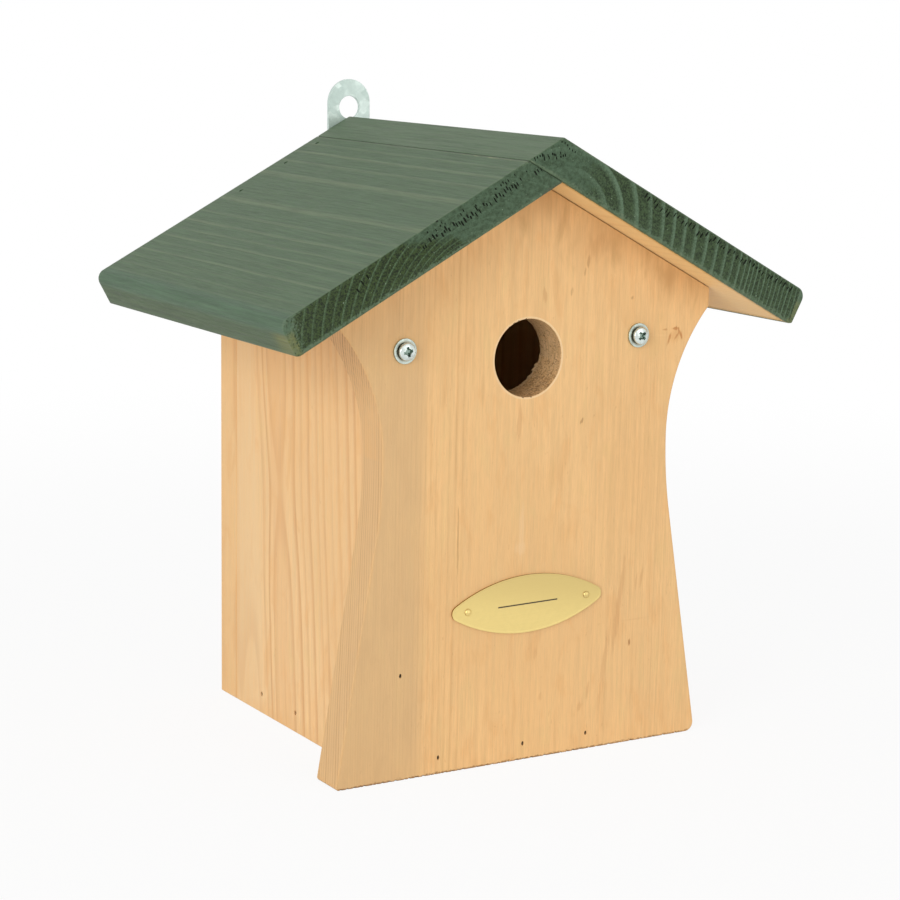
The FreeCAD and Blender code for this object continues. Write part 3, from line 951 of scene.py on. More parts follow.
for border, pressed in ((0.22 * MM, 0), (0.5 * MM, 0), (0.25 * MM, -0.07 * MM)):
    bpy.ops.mesh.inset(thickness=border, depth=pressed)
close()
plate.rotation_euler.y = -PLATE_TILT
plate.location = Vector((plate_middle.x, plate_low.y, plate_middle.z))
fix_place(plate)
print("plate", [round(size / MM, 2) for size in plate.dimensions])
cut(plate, [rod("bore", start - BACK * 3 * MM, BACK, FIT, 6 * MM, 24) for start, _ in plate_pins])
smooth(plate, 30)
settle(plate, "front", "brass_plate", "name_plate")

for side in ("left", "right"):
    node = side + "_plate_pin"
    low, high = low_high(node)
    pin = domed_cap(side + "_round_pin", high.x - low.x, PIN_HEAD, 0.15 * MM, rings=32)
    merge(pin, rod("shank", DOWN * 10.8 * MM, UP, 1.6 * MM, 10.9 * MM, 20))
    stand(pin, on_axis(node, low.y + PIN_HEAD), FRONT)
    settle(pin, "front", "brass_pin", node)

# %% [markdown]
# ## Building finishes from nodes
#
# A finish is a small tree of nodes. The function put adds any node, fills its inputs and gives its
# output as a Signal, which can be reckoned with like a number: + - * and / each add a Math node to
# the same tree. An input may be a number, a colour or another node's signal.

# %% Signals and nodes
class Signal:
    """An output of a node. Arithmetic with it adds Math nodes to its tree."""

    def __init__(self, socket):
        self.socket, self.tree = socket, socket.id_data

    def __add__(self, other):
        return calc("ADD", self, other)

    def __sub__(self, other):
        return calc("SUBTRACT", self, other)

    def __rsub__(self, other):
        return calc("SUBTRACT", other, self)

    def __mul__(self, other):
        return calc("MULTIPLY", self, other)

    def __truediv__(self, other):
        return calc("DIVIDE", self, other)

    def __abs__(self):
        return calc("ABSOLUTE", self)


def tree_of(*sources):
    return next(source.tree for source in sources if isinstance(source, Signal))


def fill(socket, source):
    """Links an input to a signal, or sets it to a plain value."""
    if isinstance(source, Signal):
        source.tree.links.new(source.socket, socket)
    else:
        socket.default_value = source


def put(tree, kind, inputs=None, output=0, **settings):
    """Adds a node, fills its inputs by name or number, and gives one of its outputs."""
    node = tree.nodes.new("ShaderNode" + kind)
    for name, value in settings.items():
        setattr(node, name, value)
    for name, source in (inputs or {}).items():
        fill(node.inputs[name], source)
    return Signal(node.outputs[output])


def calc(operation, *sources):
    return put(tree_of(*sources), "Math", dict(enumerate(sources)), operation=operation)


def distance(aside, above):
    return calc("SQRT", aside * aside + above * above)


def bell(value):
    """1 where value is 0, and falling to 0 on both sides."""
    return calc("POWER", math.e, value * value * -1.0)


def between(value, low, high, to_low=0.0, to_high=1.0, kind="SMOOTHSTEP"):
    """Maps value from low..high to another range, clamped and eased at both ends."""
    inputs = {0: value, 1: low, 2: high, 3: to_low, 4: to_high}
    return put(value.tree, "MapRange", inputs, interpolation_type=kind)


def scaled(value, to_low, to_high, low=0.0, high=1.0):
    """Maps value from low..high to another range, clamped and evenly."""
    return between(value, low, high, to_low, to_high, "LINEAR")


# %% [markdown]
# ## Mixing
#
# Colours are given as a picture program gives them, 0 to 255, and turned to Blender's linear values
# when they are mixed.

# %% Mixing colours
def linear(value):
    value /= 255
    return value / 12.92 if value <= 0.04045 else ((value + 0.055) / 1.055) ** 2.4


def mixed(amount, first, second, blend="MIX"):
    """Mixes two colours, each a signal or (red, green, blue)."""
    inputs = {0: amount}
    for number, source in ((6, first), (7, second)):
        inputs[number] = (*map(linear, source), 1.0) if isinstance(source, tuple) else source
    return put(tree_of(amount, first, second), "Mix", inputs, output=2, data_type="RGBA", blend_type=blend)


def chosen(amount, first, second):
    """Mixes two numbers."""
    return put(amount.tree, "Mix", {0: amount, 2: first, 3: second}, data_type="FLOAT")


def lit(wood, light):
    """A colour made darker or lighter by a number."""
    return mixed(1.0, wood, joined(light, light, light), "MULTIPLY")


# %% [markdown]
# ## Places and patterns
#
# Every pattern is laid out in millimetres from the piece's own coordinates, so it runs through the
# piece as real wood does, and needs no unwrapping. A drawn curve turns one number into another
# where no formula fits, as with the widths of a board's rings.

# %% Places and patterns
def parts(vector):
    """X, Y and Z of a vector."""
    node = put(vector.tree, "SeparateXYZ", {0: vector}).socket.node
    return [Signal(socket) for socket in node.outputs]


def joined(x, y, z):
    return put(tree_of(x, y, z), "CombineXYZ", {0: x, 1: y, 2: z})


def facing(tree, axis):
    """How far a face looks along an axis, from -1 to 1."""
    return parts(put(tree, "TexCoord", output="Normal"))["XYZ".index(axis)]


def painted_on(tree, name):
    """The value of one of the pieces' own attributes, arris or torn."""
    return put(tree, "Attribute", output="Fac", attribute_name=name)


def noise(place, sizes, detail=2.0, roughness=0.5, distortion=0.0, offset=0.0):
    """Soft noise whose blobs are about sizes (x, y, z) big, in the units of place."""
    moved = put(place.tree, "Mapping", {"Vector": place, "Location": (offset, offset * 1.7, offset * 0.6),
                                        "Scale": [1 / size for size in sizes]})
    return put(place.tree, "TexNoise", {"Vector": moved, "Scale": 1.0, "Detail": detail,
                                        "Roughness": roughness, "Distortion": distortion})


def curve(value, points, reach, top):
    """A drawn curve through (value, result) points; values go up to reach, results to top."""
    drawn = put(value.tree, "FloatCurve", {1: value / reach})
    mapping = drawn.socket.node.mapping
    line = mapping.curves[0]
    for end in (0, -1):
        line.points[end].location = (points[end][0] / reach, points[end][1] / top)
    for x, y in points[1:-1]:
        line.points.new(x / reach, y / top)
    for place in line.points:
        place.handle_type = "AUTO_CLAMPED"
    mapping.update()
    return drawn * top


# %% [markdown]
# ## Groups and whole finishes
#
# A pattern that several finishes share is a node group. It gives out only numbers, and each
# finish has its own shader, whose constants are set on its own sockets.

# %% Groups and finishes
PLACE = ("Place", (0, 0, 0))


def new_group(name, inputs, outputs):
    """A node group, its inputs' signals and its outputs' sockets. An input is (label, value) or PLACE."""
    group = bpy.data.node_groups.new(name, "ShaderNodeTree")
    for label, value in inputs:
        kind = "NodeSocketVector" if label == "Place" else "NodeSocketFloat"
        group.interface.new_socket(label, in_out="INPUT", socket_type=kind).default_value = value
    for label in outputs:
        group.interface.new_socket(label, in_out="OUTPUT", socket_type="NodeSocketFloat")
    given = {socket.name: Signal(socket) for socket in group.nodes.new("NodeGroupInput").outputs}
    return group, given, group.nodes.new("NodeGroupOutput").inputs


def use(group, **inputs):
    """Places a group, and gives its outputs. An input's name has _ where its label has a space."""
    node = tree_of(*inputs.values()).nodes.new("ShaderNodeGroup")
    node.node_tree = group
    for name, source in inputs.items():
        fill(node.inputs[name.replace("_", " ").capitalize()], source)
    return {socket.name: Signal(socket) for socket in node.outputs}


def new_finish(name):
    material = bpy.data.materials.new(name)
    material.use_nodes = True
    return material, material.node_tree


def dress(material, inputs, height=None, strength=0.0, depth=0.0):
    """Fills the inputs of a material's shader, and bumps it by height, depth millimetres deep."""
    shader = material.node_tree.nodes["Principled BSDF"]
    if height:
        bump = {"Strength": strength, "Distance": depth * MM, "Height": height}
        inputs["Normal"] = put(material.node_tree, "Bump", bump)
    for name, source in inputs.items():
        fill(shader.inputs[name], source)
    return material


def board_place(tree, order, corner=(0, 0, 0), turn=(0, 0, 0)):
    """Object coordinates in millimetres from a corner, turned, with their axes in the given order."""
    place = put(tree, "TexCoord", output="Object")
    turned = put(tree, "Mapping", {"Vector": place, "Location": [value * MM for value in corner],
                                   "Rotation": turn, "Scale": (MM, MM, MM)}, vector_type="TEXTURE")
    x_y_z = parts(turned)
    return joined(*[x_y_z["XYZ".index(axis)] for axis in order])


# %% [markdown]
# ## How a board shows its rings
#
# A tree grows in rings round its heart, so a board is a slice through nested tubes. If the finish
# knows how far each point of the board is from the heart line, one pattern gives everything at
# once: fine upright lines near the edges of a face, broad arches in its middle, and arcs on the end
# grain. The heart line may lean, and may swell away from the face at one height, which makes an
# hourglass figure. All of it is worked out in millimetres.

# %% The distance from the heart
heart, given, made = new_group("distance_from_heart", [
    PLACE, ("Across", 0.0), ("Depth", 0.0), ("Lean", 0.0), ("Swell", 0.0), ("Swell place", 0.0),
    ("Swell length", 30.0), ("Wobble", 1.0)], ("Distance", "Side"))
across, deep, along = parts(given["Place"])
waver = (noise(given["Place"], (38, 38, 130)) - 0.5) * given["Wobble"]
out = across - (along * given["Lean"] + given["Across"]) + waver
down = deep - given["Depth"]
hill = bell((along - given["Swell place"]) / given["Swell length"]) * given["Swell"]
fill(made["Distance"], calc("SQRT", calc("MAXIMUM", out * out + down * down + hill, 0.0)))
fill(made["Side"], calc("SIGN", out))

# %% [markdown]
# ## One ring
#
# Each ring starts pale and soft in spring and ends dark and dense in autumn, then starts again
# abruptly. The ring count's fraction tells how far through its year a point is, and its whole
# number gives each year its own strength.

# %% The ring pattern
ring, given, made = new_group("ring_pattern", [("Count", 0.0), ("Start", 0.55), ("Drop", 0.10)],
                              ("Late", "Year"))
season = calc("FRACT", given["Count"])
rising, falling = between(season, given["Start"], 0.98), between(season, 0.0, given["Drop"], 1.0, 0.0)
fill(made["Late"], calc("MAXIMUM", rising, falling))
whole = calc("FLOOR", given["Count"] - 0.25)
fill(made["Year"], put(ring, "TexWhiteNoise", {"W": whole}, noise_dimensions="1D"))

# %% [markdown]
# ## Fibres
#
# Between the rings a planed board shows its fibres: hair-thin streaks a centimetre long, longer
# soft streaks, and now and then a short dark fleck. They are noises stretched along the grain.

# %% The fibre pattern
fibre, given, made = new_group("wood_fibres", [PLACE, ("Shift", 0.0)], ("Fine", "Long", "Fleck", "Cloud"))
shift = joined(given["Shift"], given["Shift"], given["Shift"])
moved = put(fibre, "VectorMath", {0: given["Place"], 1: shift}, operation="ADD")
fill(made["Fine"], between(noise(moved, (0.5, 0.5, 7), 3.0, 0.65), 0.28, 0.72))
fill(made["Long"], between(noise(moved, (1.5, 1.5, 45), 3.0, 0.55), 0.3, 0.7))
fill(made["Fleck"], between(noise(moved, (0.8, 0.8, 3.2), 1.0, 0.4, 0.3, 7.0), 0.73, 0.82))
fill(made["Cloud"], scaled(noise(moved, (8, 8, 24), 3.0, 0.6, 0.5, 3.0), 0.0, 1.0, 0.3, 0.7))
for group in (heart, ring, fibre):
    print(group.name, "has", len(group.nodes), "nodes")

# %% [markdown]
# ## Pine
#
# One function makes the pine of every board, and each board has its own heart, ring width and
# colours, because no two are sawn from the same place. Its place is turned so that X runs across
# the board, Y into it and Z along the grain. Faces that look along the grain are end grain, which
# drinks more oil and is darker.

# %% The pine of a board
def end_grain(tree, axis):
    """1 on faces that look along the grain."""
    return between(abs(facing(tree, axis)), 0.6, 0.8)


def pine(name, order, across, depth, ring_width=3.0, lean=0.0, swell=(0, 0, 30), wobble=3.0, shift=0.0,
         pale=(238, 197, 142), dark=(219, 170, 116), start=0.55, count=None, years=None, extra=None):
    """Pine with its rings and fibres. Count, years and extra let one board have its own figure and marks."""
    material, tree = new_finish(name)
    place = board_place(tree, order)
    core = use(heart, place=place, across=across, depth=depth, lean=lean, swell=swell[0],
               swell_place=swell[1], swell_length=swell[2], wobble=wobble)
    number = count(core, place) if count else core["Distance"] / ring_width
    rings = use(ring, count=number, start=start, drop=0.12)
    fibres = use(fibre, place=place, shift=shift)
    year = years(number, rings["Year"], place) if years else scaled(rings["Year"], 0.36, 0.8)
    late = rings["Late"] * year
    wood = mixed(late, pale, dark)
    wood = mixed(between(fibres["Cloud"], 0.5, 1.0, 0.0, 0.45), wood, (230, 178, 118))      # warm clouds
    wood = mixed(between(fibres["Cloud"], 0.45, 0.0, 0.0, 0.30), wood, (231, 197, 136))     # straw clouds
    wood = lit(wood, (fibres["Fine"] * 0.09 + 0.955) * scaled(fibres["Long"], 0.955, 1.045))
    wood = mixed(fibres["Fleck"] * 0.22, wood, (180, 126, 76))
    ends = end_grain(tree, order[2])
    wood = mixed(ends * 0.55, wood, (196, 142, 86))
    if extra:
        wood = extra(place, wood, fibres, late)
    rubbed = painted_on(tree, "arris") * scaled(fibres["Long"], 0.1, 0.5)
    wood = mixed(rubbed, wood, (226, 179, 120))
    # Painted shade in the torn pits.
    wood = mixed(painted_on(tree, "torn") * 0.75, wood, (118, 82, 44))
    rough = fibres["Fine"] * 0.12 + 0.52 + ends * 0.15
    height = fibres["Fine"] * 0.5 + late * 0.6 + fibres["Fleck"] * -0.6
    return dress(material, {"Base Color": wood, "Roughness": rough, "Specular IOR Level": 0.3},
                 height, strength=0.5, depth=0.12)


def finish_with(material, *names):
    for name in names:
        bpy.data.objects[name].data.materials.append(material)
    print(material.name, "has", len(material.node_tree.nodes), "nodes")


# %% [markdown]
# ## The left side's own figure
#
# The left side shows an hourglass: two lines come together half-way up and part again. Its heart
# line lies just at the face and leans to the front, and swells away at half height. The rings are
# not evenly wide, so two curves turn distance into ring count, one for each side of the heart. A
# low hill in the count makes the small arch near the back.

# %% Finish the box boards
TO_FRONT_RINGS = ((0, 0), (9, 1), (17, 2), (23, 3), (29.5, 4), (37, 5), (42.5, 6), (49, 7), (55.3, 8),
                  (63.7, 9), (69.6, 10), (100, 15.5))
TO_BACK_RINGS = ((0, 0), (9, 1), (13.5, 2), (18.5, 3), (26, 3.45), (34, 3.55), (44, 3.7), (60, 6),
                 (100, 12))
LEFT_YEARS = ((0, 0.5), (0.9, 0.7), (2, 1.0), (3, 0.5), (4, 0.85), (5, 0.5), (6, 0.7), (7, 0.3), (8, 0.6),
              (9, 0.9), (10, 1.0), (11, 0.5), (20, 0.5))


def left_side_count(core, place):
    across, _, along = parts(place)
    arch = bell((across - 51.0) / 10.0) * scaled(along, 0.0, 1.1, 62, 0)
    return chosen(scaled(core["Side"], 0.0, 1.0, -1.0, 1.0), curve(core["Distance"], TO_FRONT_RINGS, 100, 20),
                  curve(core["Distance"], TO_BACK_RINGS, 100, 20) + arch)


def left_side_years(number, chance, place):
    return curve(number, LEFT_YEARS, 20, 1)


def left_side_tints(place, wood, fibres, late):
    """Orange between the two middle lines, straw towards the back."""
    across, _, along = parts(place)
    bent = along * -0.07 + across
    wood = mixed(between(abs(bent - 19.0), 8.0, 5.0) * 0.38, wood, (228, 180, 126))
    return mixed(between(bent, 36.0, 42.0) * 0.55, wood, (237, 204, 156))


outer_face = low_high("left_side_panel")[0].x / MM
finish_with(pine("left_side_pine", "YXZ", 17.5, outer_face, lean=0.07, swell=(85, 105, 32), wobble=2.0,
                 pale=(239, 200, 147), dark=(219, 170, 118), count=left_side_count, years=left_side_years,
                 extra=left_side_tints), "left_side_board")
finish_with(pine("right_side_pine", "YXZ", -12.0, 90.0, 4.2, wobble=5.0, shift=40.0), "right_side_board")
finish_with(pine("back_pine", "XYZ", 24.0, 52.0, 4.6, wobble=6.0, shift=80.0), "back_board")
finish_with(pine("floor_pine", "YZX", 8.0, -30.0, 3.8, wobble=5.0, shift=120.0), "floor_board")

# %% [markdown]
# ## The front board's figure and marks
#
# The front is sawn so that its rings show as fine lines near its left edge and hardly at all in the
# middle. It also has the small accidents that make wood look real: resin flecks, a small knot, a pale
# patch and bruises. Wide clouds of painted shade darken its top under the roof. A group makes one
# soft oval mark, and a list places them.

# %% Marks on the front
WIDE_MARK = 7       # marks with a larger half width are clouds, with softer edges
spot, given, made = new_group("soft_spot", [
    ("Across", 0.0), ("Along", 0.0), ("Ragged", 0.5), ("Middle across", 0.0), ("Middle along", 0.0),
    ("Half width", 1.0), ("Half length", 1.0), ("Lean", 0.0), ("Full", 0.45)], ["Mask"])
off_along = given["Along"] - given["Middle along"]
off_across = given["Across"] - given["Middle across"] - off_along * given["Lean"]
away = distance(off_across / given["Half width"], off_along / given["Half length"])
away = away + (given["Ragged"] * 0.9 - 0.45)
fill(made["Mask"], between(away, 1.0, given["Full"]))


def marked(place, wood, fibres, marks):
    """Mixes soft oval marks into a colour."""
    across, _, along = parts(place)
    ragged = fibres["Fine"] * 0.6 + fibres["Long"] * 0.4
    for x, z, half_width, half_length, lean, amount, tint in marks:
        edge, full = (fibres["Cloud"], -0.35) if half_width > WIDE_MARK else (ragged, 0.45)
        mask = use(spot, across=across, along=along, ragged=edge, middle_across=x, middle_along=z,
                   half_width=half_width, half_length=half_length, lean=lean, full=full)["Mask"]
        wood = mixed(mask * amount, wood, tint)
    return wood


# PAINTED_SHADE is painted shade: the roof's shadow on the top of the front, laid as wide soft marks.
RESIN, KNOT, PAINTED_SHADE = (150, 96, 50), (188, 122, 62), (196, 148, 94)
BRUISE, AMBER, PALE = (205, 150, 98), (214, 158, 96), (243, 207, 158)
# Across, along, half width, half length, lean, amount and tint of each mark.
FRONT_MARKS = (
    (26.8, 208, 0.9, 3.0, 0.15, 0.42, RESIN), (25.4, 204, 0.6, 2.2, 0.25, 0.30, RESIN),
    (19, 196, 0.8, 2.2, 0.2, 0.30, RESIN), (6, 195, 1.4, 3.4, -0.1, 0.40, BRUISE),
    (14, 226, 9, 8, 0.0, 0.22, BRUISE), (30, 214, 5, 6, 0.3, 0.30, BRUISE),
    (49, 192, 0.9, 1.2, 0.0, 0.45, RESIN), (25.5, 142, 0.8, 1.6, 0.5, 0.50, RESIN),
    (-5, 143, 1.6, 9, 0.05, 0.35, BRUISE), (71.5, 175, 4.2, 4.2, 0.0, 0.35, AMBER),
    (68.9, 174.2, 0.9, 4.0, 0.3, 0.75, KNOT), (71.4, 178.0, 2.6, 0.9, 0.0, 0.8, KNOT),
    (74.4, 175.6, 0.9, 2.8, -0.4, 0.75, KNOT), (72.4, 174.6, 0.7, 2.0, 0.7, 0.6, KNOT),
    (66.2, 177.8, 1.6, 0.6, 0.0, 0.6, KNOT), (-3, 98, 1.3, 13, 0.02, 0.45, PALE),
    (-3, 91, 3.4, 3.0, 0.0, 0.35, PALE), (52, 54, 18, 0.7, 0.0, 0.22, BRUISE),
    (28, 19, 1.6, 2.2, 0.1, 0.35, BRUISE), (32, 26, 1.1, 4.6, 0.05, 0.35, BRUISE),
    (8, 26, 1.3, 2.5, 0.0, 0.30, BRUISE), (5, 45, 1.2, 3.5, 0.1, 0.30, BRUISE),
    (53, 44, 0.5, 2.2, 0.0, 0.7, RESIN), (58, 72, 0.9, 5.5, 0.12, 0.35, BRUISE),
    (55.5, 71, 0.6, 4.5, 0.12, 0.30, BRUISE), (47, 62, 1.4, 26, 0.13, 0.32, BRUISE),
    (40, 36, 1.6, 22, 0.13, 0.26, BRUISE), (-33.5, 95, 0.5, 28, 0.0, 0.45, RESIN),
    (13, 120, 10, 14, 0.1, 0.26, AMBER), (20, 96, 8, 10, 0.1, 0.28, AMBER),
    (72, 200, 28, 20, -0.4, 0.75, PAINTED_SHADE), (38, 216, 42, 18, -0.5, 0.65, PAINTED_SHADE),
    (-2, 234, 26, 16, 0.0, 0.65, PAINTED_SHADE), (52, 120, 34, 70, 0.0, 0.2, AMBER))

# %% [markdown]
# ## The front's rings and its entrance
#
# The count of the front's rings is drawn as a curve, broad in the middle of the face and narrow
# towards the edges, and a second curve says how strong they are from left to right. In the entrance
# the teeth of the hole saw left fine rings round the wall and dark nicks, and a painted highlight
# runs round its rim.

# %% Finish the front board
FRONT_RINGS = ((0, 0), (46, 20), (60, 26), (80, 38), (103, 60), (150, 105))
FRONT_YEARS = ((0, 0.5), (20, 0.45), (38, 0.5), (52, 0.55), (62, 0.2), (80, 0.08), (110, 0.08), (125, 0.14),
               (140, 0.22), (150, 0.28), (165, 0.25), (180, 0.2))


def front_count(core, place):
    return curve(core["Distance"], FRONT_RINGS, 150, 110)


def front_years(number, chance, place):
    """Strength of the rings, from the left edge to the right one; on the sawn edges they are clear."""
    strength = curve(parts(place)[0] + FOOT / MM, FRONT_YEARS, 180, 1)
    strength = strength * between(noise(place, (6, 6, 60), offset=31.0), 0.3, 0.65, 0.35, 1.0)
    sideways = between(abs(facing(place.tree, "X")), 0.45, 0.75)
    return chosen(sideways, strength, 1.35) * scaled(chance, 0.3, 1.0)


def bored(place):
    """1 on the entrance's wall, the distance from its axis, and the way round the wall."""
    across, _, along = parts(place)
    aside, above = across - ENTRANCE.x / MM, along - ENTRANCE.z / MM
    away = distance(aside, above)
    wall = between(abs(facing(place.tree, "Y")), 0.9, 0.6) * between(away, 17.6, 17.4)
    return wall, away, calc("ARCTAN2", above, aside) * (ENTRANCE_DIAMETER / MM / 2)


def sawn_wall(around, deep):
    """Colour of the entrance's wall: the saw's circles, dark nicks and a paler far lip."""
    turned = joined(around, deep, 0.0)
    circles = noise(turned, (5.0, 0.32, 1.0), 3.0, 0.6, offset=3.0)
    sawn = mixed(between(circles, 0.36, 0.64), (180, 147, 104), (228, 193, 146))
    nicks = noise(turned, (0.55, 1.1, 1.0), 2.0, 0.6, offset=6.0) - between(around, 2.0, -14.0, 0.57, 0.47)
    sawn = mixed(between(nicks, 0.0, 0.06, 0.0, 0.85), sawn, (122, 90, 56))
    lip = inner_face / MM
    return mixed(between(deep, lip - 0.9, lip - 0.1, 0.0, 0.55), sawn, (232, 198, 150))


def front_extras(place, wood, fibres, late):
    """A greyer strip on the left, painted shade on the upper left edge, the marks, painted shade along the
    foot, a painted highlight round the entrance's rim, and the entrance.
    """
    across, deep, along = parts(place)
    strip = between(across, -46.0, -54.0) * between(along, 235.0, 150.0)
    wood = mixed(strip * scaled(fibres["Cloud"], 0.7, 1.0) * 0.8, wood, (212, 176, 128))
    # Painted shade on the left edge above the waist, where it looks down; the same mask makes its rings
    # clearer.
    left_edge_shade_and_rings = between(facing(place.tree, "X"), -0.45, -0.7) * between(along, 150.0, 178.0, 0.25, 1.0)
    wood = mixed(left_edge_shade_and_rings * 0.5, wood, (212, 168, 116))
    wood = mixed(left_edge_shade_and_rings * late, wood, (162, 114, 64))
    wood = marked(place, wood, fibres, FRONT_MARKS)
    wall, away, around = bored(place)
    # A painted highlight round the entrance's rim.
    wood = mixed(between(away, 17.1, 16.7) * scaled(fibres["Long"], 0.5, 1.0), wood, (252, 222, 176))
    # Painted shade along the foot's lower arris.
    foot_shade_line = along + noise(place, (1.1, 1.1, 0.7)) * 2.2
    wood = mixed(between(foot_shade_line, 2.2, 1.3, 0.0, 0.85), wood, (140, 98, 54))
    return mixed(wall, wood, sawn_wall(around, deep))


finish_with(pine("front_pine", "XYZ", 2.0, front_face / MM - 46, lean=0.01, shift=11.0,
                 pale=(238, 194, 136), dark=(205, 155, 100), start=0.6, count=front_count,
                 years=front_years, extra=front_extras), "front_board")

# %% [markdown]
# ## Green paint on the roof
#
# The roof is painted thinly, so its wood still shows: on the faces the late wood of each ring is a
# paler line along the board. The paint is greyer where it goes round the eave, browner at the front
# corner, and worn through at the seam, where the other board's end has rubbed.

# %% Paint on the faces
def painted_face(side, reach, z, y, place, streak, fibres):
    """Thin green paint, greyer round the eave, and worn and dark along the left board's seam."""
    face = mixed(streak, (77, 98, 70), (103, 118, 89))
    face = mixed(fibres["Cloud"] * 0.4, face, (78, 102, 76))
    face = mixed(between(reach, 124.0, 129.0) * between(z, 9.5, 12.0) * 0.7, face, (74, 99, 77))
    eave = between(reach, 129.0, 130.5) * between(z, 11.0, 8.5)
    face = mixed(eave * 0.7, face, (70, 86, 58))
    corner = eave * between(y, -72.0, -86.0) * scaled(fibres["Cloud"], 0.5, 0.9)
    face = mixed(corner, face, (116, 118, 66))
    thin = noise(place, (1.2, 1.2, 30), 4.0, 0.72, 0.15, 13.0)
    face = lit(face, (fibres["Fine"] * 0.18 + 0.91) * scaled(thin, 0.80, 1.20, 0.36, 0.64))
    if side == "right":
        return face
    seam = reach - ROOF_THICKNESS / MM / math.tan(2 * PITCH)        # from where the other board laps over
    worn = between(noise(place, (0.7, 0.7, 7.0), 3.0, 0.6, offset=21.0), 0.5, 0.62)
    worn = worn * between(seam, 1.5, 0.9) * between(y, -30.0, -62.0)
    face = mixed(worn * 0.7, face, (168, 168, 128))
    return mixed(between(seam, 0.9, 0.4, 0.0, 0.8), face, (30, 38, 22))


# %% [markdown]
# ## The sawn ends and the underside
#
# On the sawn ends the soft early wood has drunk the paint and is dark and fuzzy, and the late wood
# stands out as pale arcs. Near the ridge the paint lies thicker and hides them. The underside is
# bare, but the brush went a little way round the arrises and left a ragged green edge.

# %% Paint on the sawn ends
# Colours of an end: early wood's two, late wood's two, and how much of an arc is left in the fuzz.
END_COLOURS = {"left": ((18, 30, 8), (58, 76, 37), (68, 90, 61), (89, 113, 82), 0.65),
               "right": ((28, 42, 21), (66, 86, 54), (80, 103, 77), (103, 127, 102), 0.95)}
# The end is filled with paint near the ridge, up to a reach of (from, to), slanting with the height.
FILLED = {"left": (30, 40, -2.0), "right": (-4, 12, 0.0)}


def painted_end(side, reach, z, place, fuzz, rings):
    """Dark fuzzy early wood, pale arcs of late wood, and a mottled film of paint near the ridge."""
    dark, dim, sunk, pale, broken = END_COLOURS[side]
    early = mixed(between(fuzz, 0.36, 0.64), dark, dim)
    late = mixed(between(fuzz, 0.3, 0.7), sunk, pale)
    arcs = rings["Late"] * scaled(rings["Year"], 0.6, 1.0) * between(fuzz, 0.3, 0.6, broken, 1.0)
    sawn = mixed(arcs, early, late)
    lumps = noise(place, (1.6, 1.6, 3.4), 3.0, 0.6, 0.3, 4.0)
    mottled = mixed(between(lumps, 0.35, 0.65), (50, 68, 46), (76, 99, 76))
    mottled = mixed(between(fuzz, 0.3, 0.7) * 0.35, mottled, (88, 112, 88))
    mottled = mixed(arcs * 0.25, mottled, (92, 116, 92))
    first, last, slant = FILLED[side]
    covered = z * slant + reach + noise(place, (6, 6, 6), offset=9.0) * -16.0
    sawn = mixed(between(covered, last, first) * 0.85, sawn, mottled)
    speck = noise(place, (1.0, 1.0, 1.0), 1.0, 0.3, 0.2, 17.0)
    return mixed(between(speck, 0.74, 0.80), sawn, (122, 142, 116))


# %% The bare underside
def bare_underside(side, reach, z, y, place, streak, fibres):
    """Its colour, and 1 where it shows inside the ragged edge that the brush left."""
    bare = mixed(streak * 0.35, (246, 211, 152), (226, 182, 120))
    bare = lit(bare, fibres["Fine"] * 0.08 + 0.96)
    low, high = low_high(side + "_roof_board")
    end = calc("MINIMUM", y - low.y / MM, high.y / MM - y)
    eave = (SLOPE_LENGTH - EAVE_FLAT) / MM - reach
    lap = ROOF_THICKNESS / MM / math.sin(2 * PITCH) if side == "right" else 0.0
    edge = calc("MINIMUM", end, calc("MINIMUM", eave, reach + lap))
    edge = edge + 0.4 + noise(place, (1.2, 1.2, 1.6), 4.0, 0.65) * -3.4
    bare = mixed(between(edge, 3.4, 0.2, 0.0, 0.75), bare, (198, 158, 84))
    return bare, between(z, 0.45, 0.25) * between(edge, 0.0, 0.35)


# %% [markdown]
# ## The whole finish of a roof board
#
# One function puts the three together: end grain, faces and underside each get their own colour,
# and over all of them the arrises are rubbed and the torn pits get painted shade.

# %% Finish the roof boards
def roof_finish(side, across, depth, ring_points, ring_start, shift):
    material, tree = new_finish(side + "_roof_paint")
    place = board_place(tree, "XZY", tuple(apex / MM), (0, OUTWARD[side] * PITCH, 0))
    x, z, y = parts(place)
    reach = x * OUTWARD[side]
    core = use(heart, place=place, across=across, depth=depth, wobble=3.0)
    rings = use(ring, count=curve(core["Distance"], ring_points, 150, 40), start=ring_start, drop=0.08)
    fibres = use(fibre, place=place, shift=shift)
    arris = painted_on(tree, "arris")
    nibbled = noise(place, (0.9, 0.9, 0.9), offset=8.0) * 0.5 + arris
    ends = end_grain(tree, "Y") * between(nibbled, 1.12, 1.25, 1.0, 0.1)
    streak = rings["Late"] * scaled(rings["Year"], 0.25, 1.0)
    fuzz = noise(place, (0.7, 0.7, 0.7), 3.0, 0.65, 0.5)

    paint = mixed(ends, painted_face(side, reach, z, y, place, streak, fibres),
                  painted_end(side, reach, z, place, fuzz, rings))
    rubbed = arris * scaled(fibres["Long"], 0.05, 0.4) * scaled(ends, 1.0, 0.3)
    paint = mixed(rubbed, paint, (108, 124, 100))
    # Near-black painted shade in the torn pits.
    paint = mixed(painted_on(tree, "torn"), paint, (22, 32, 15))
    bare, under = bare_underside(side, reach, z, y, place, streak, fibres)
    rough = fibres["Fine"] * 0.15 + 0.5 + ends * 0.2
    height = fibres["Fine"] * 0.6 + rings["Late"] * 0.8 + fuzz * ends * 2.0
    return dress(material, {"Base Color": mixed(under, paint, bare), "Roughness": rough,
                            "Specular IOR Level": 0.35}, height, strength=0.6, depth=0.15)


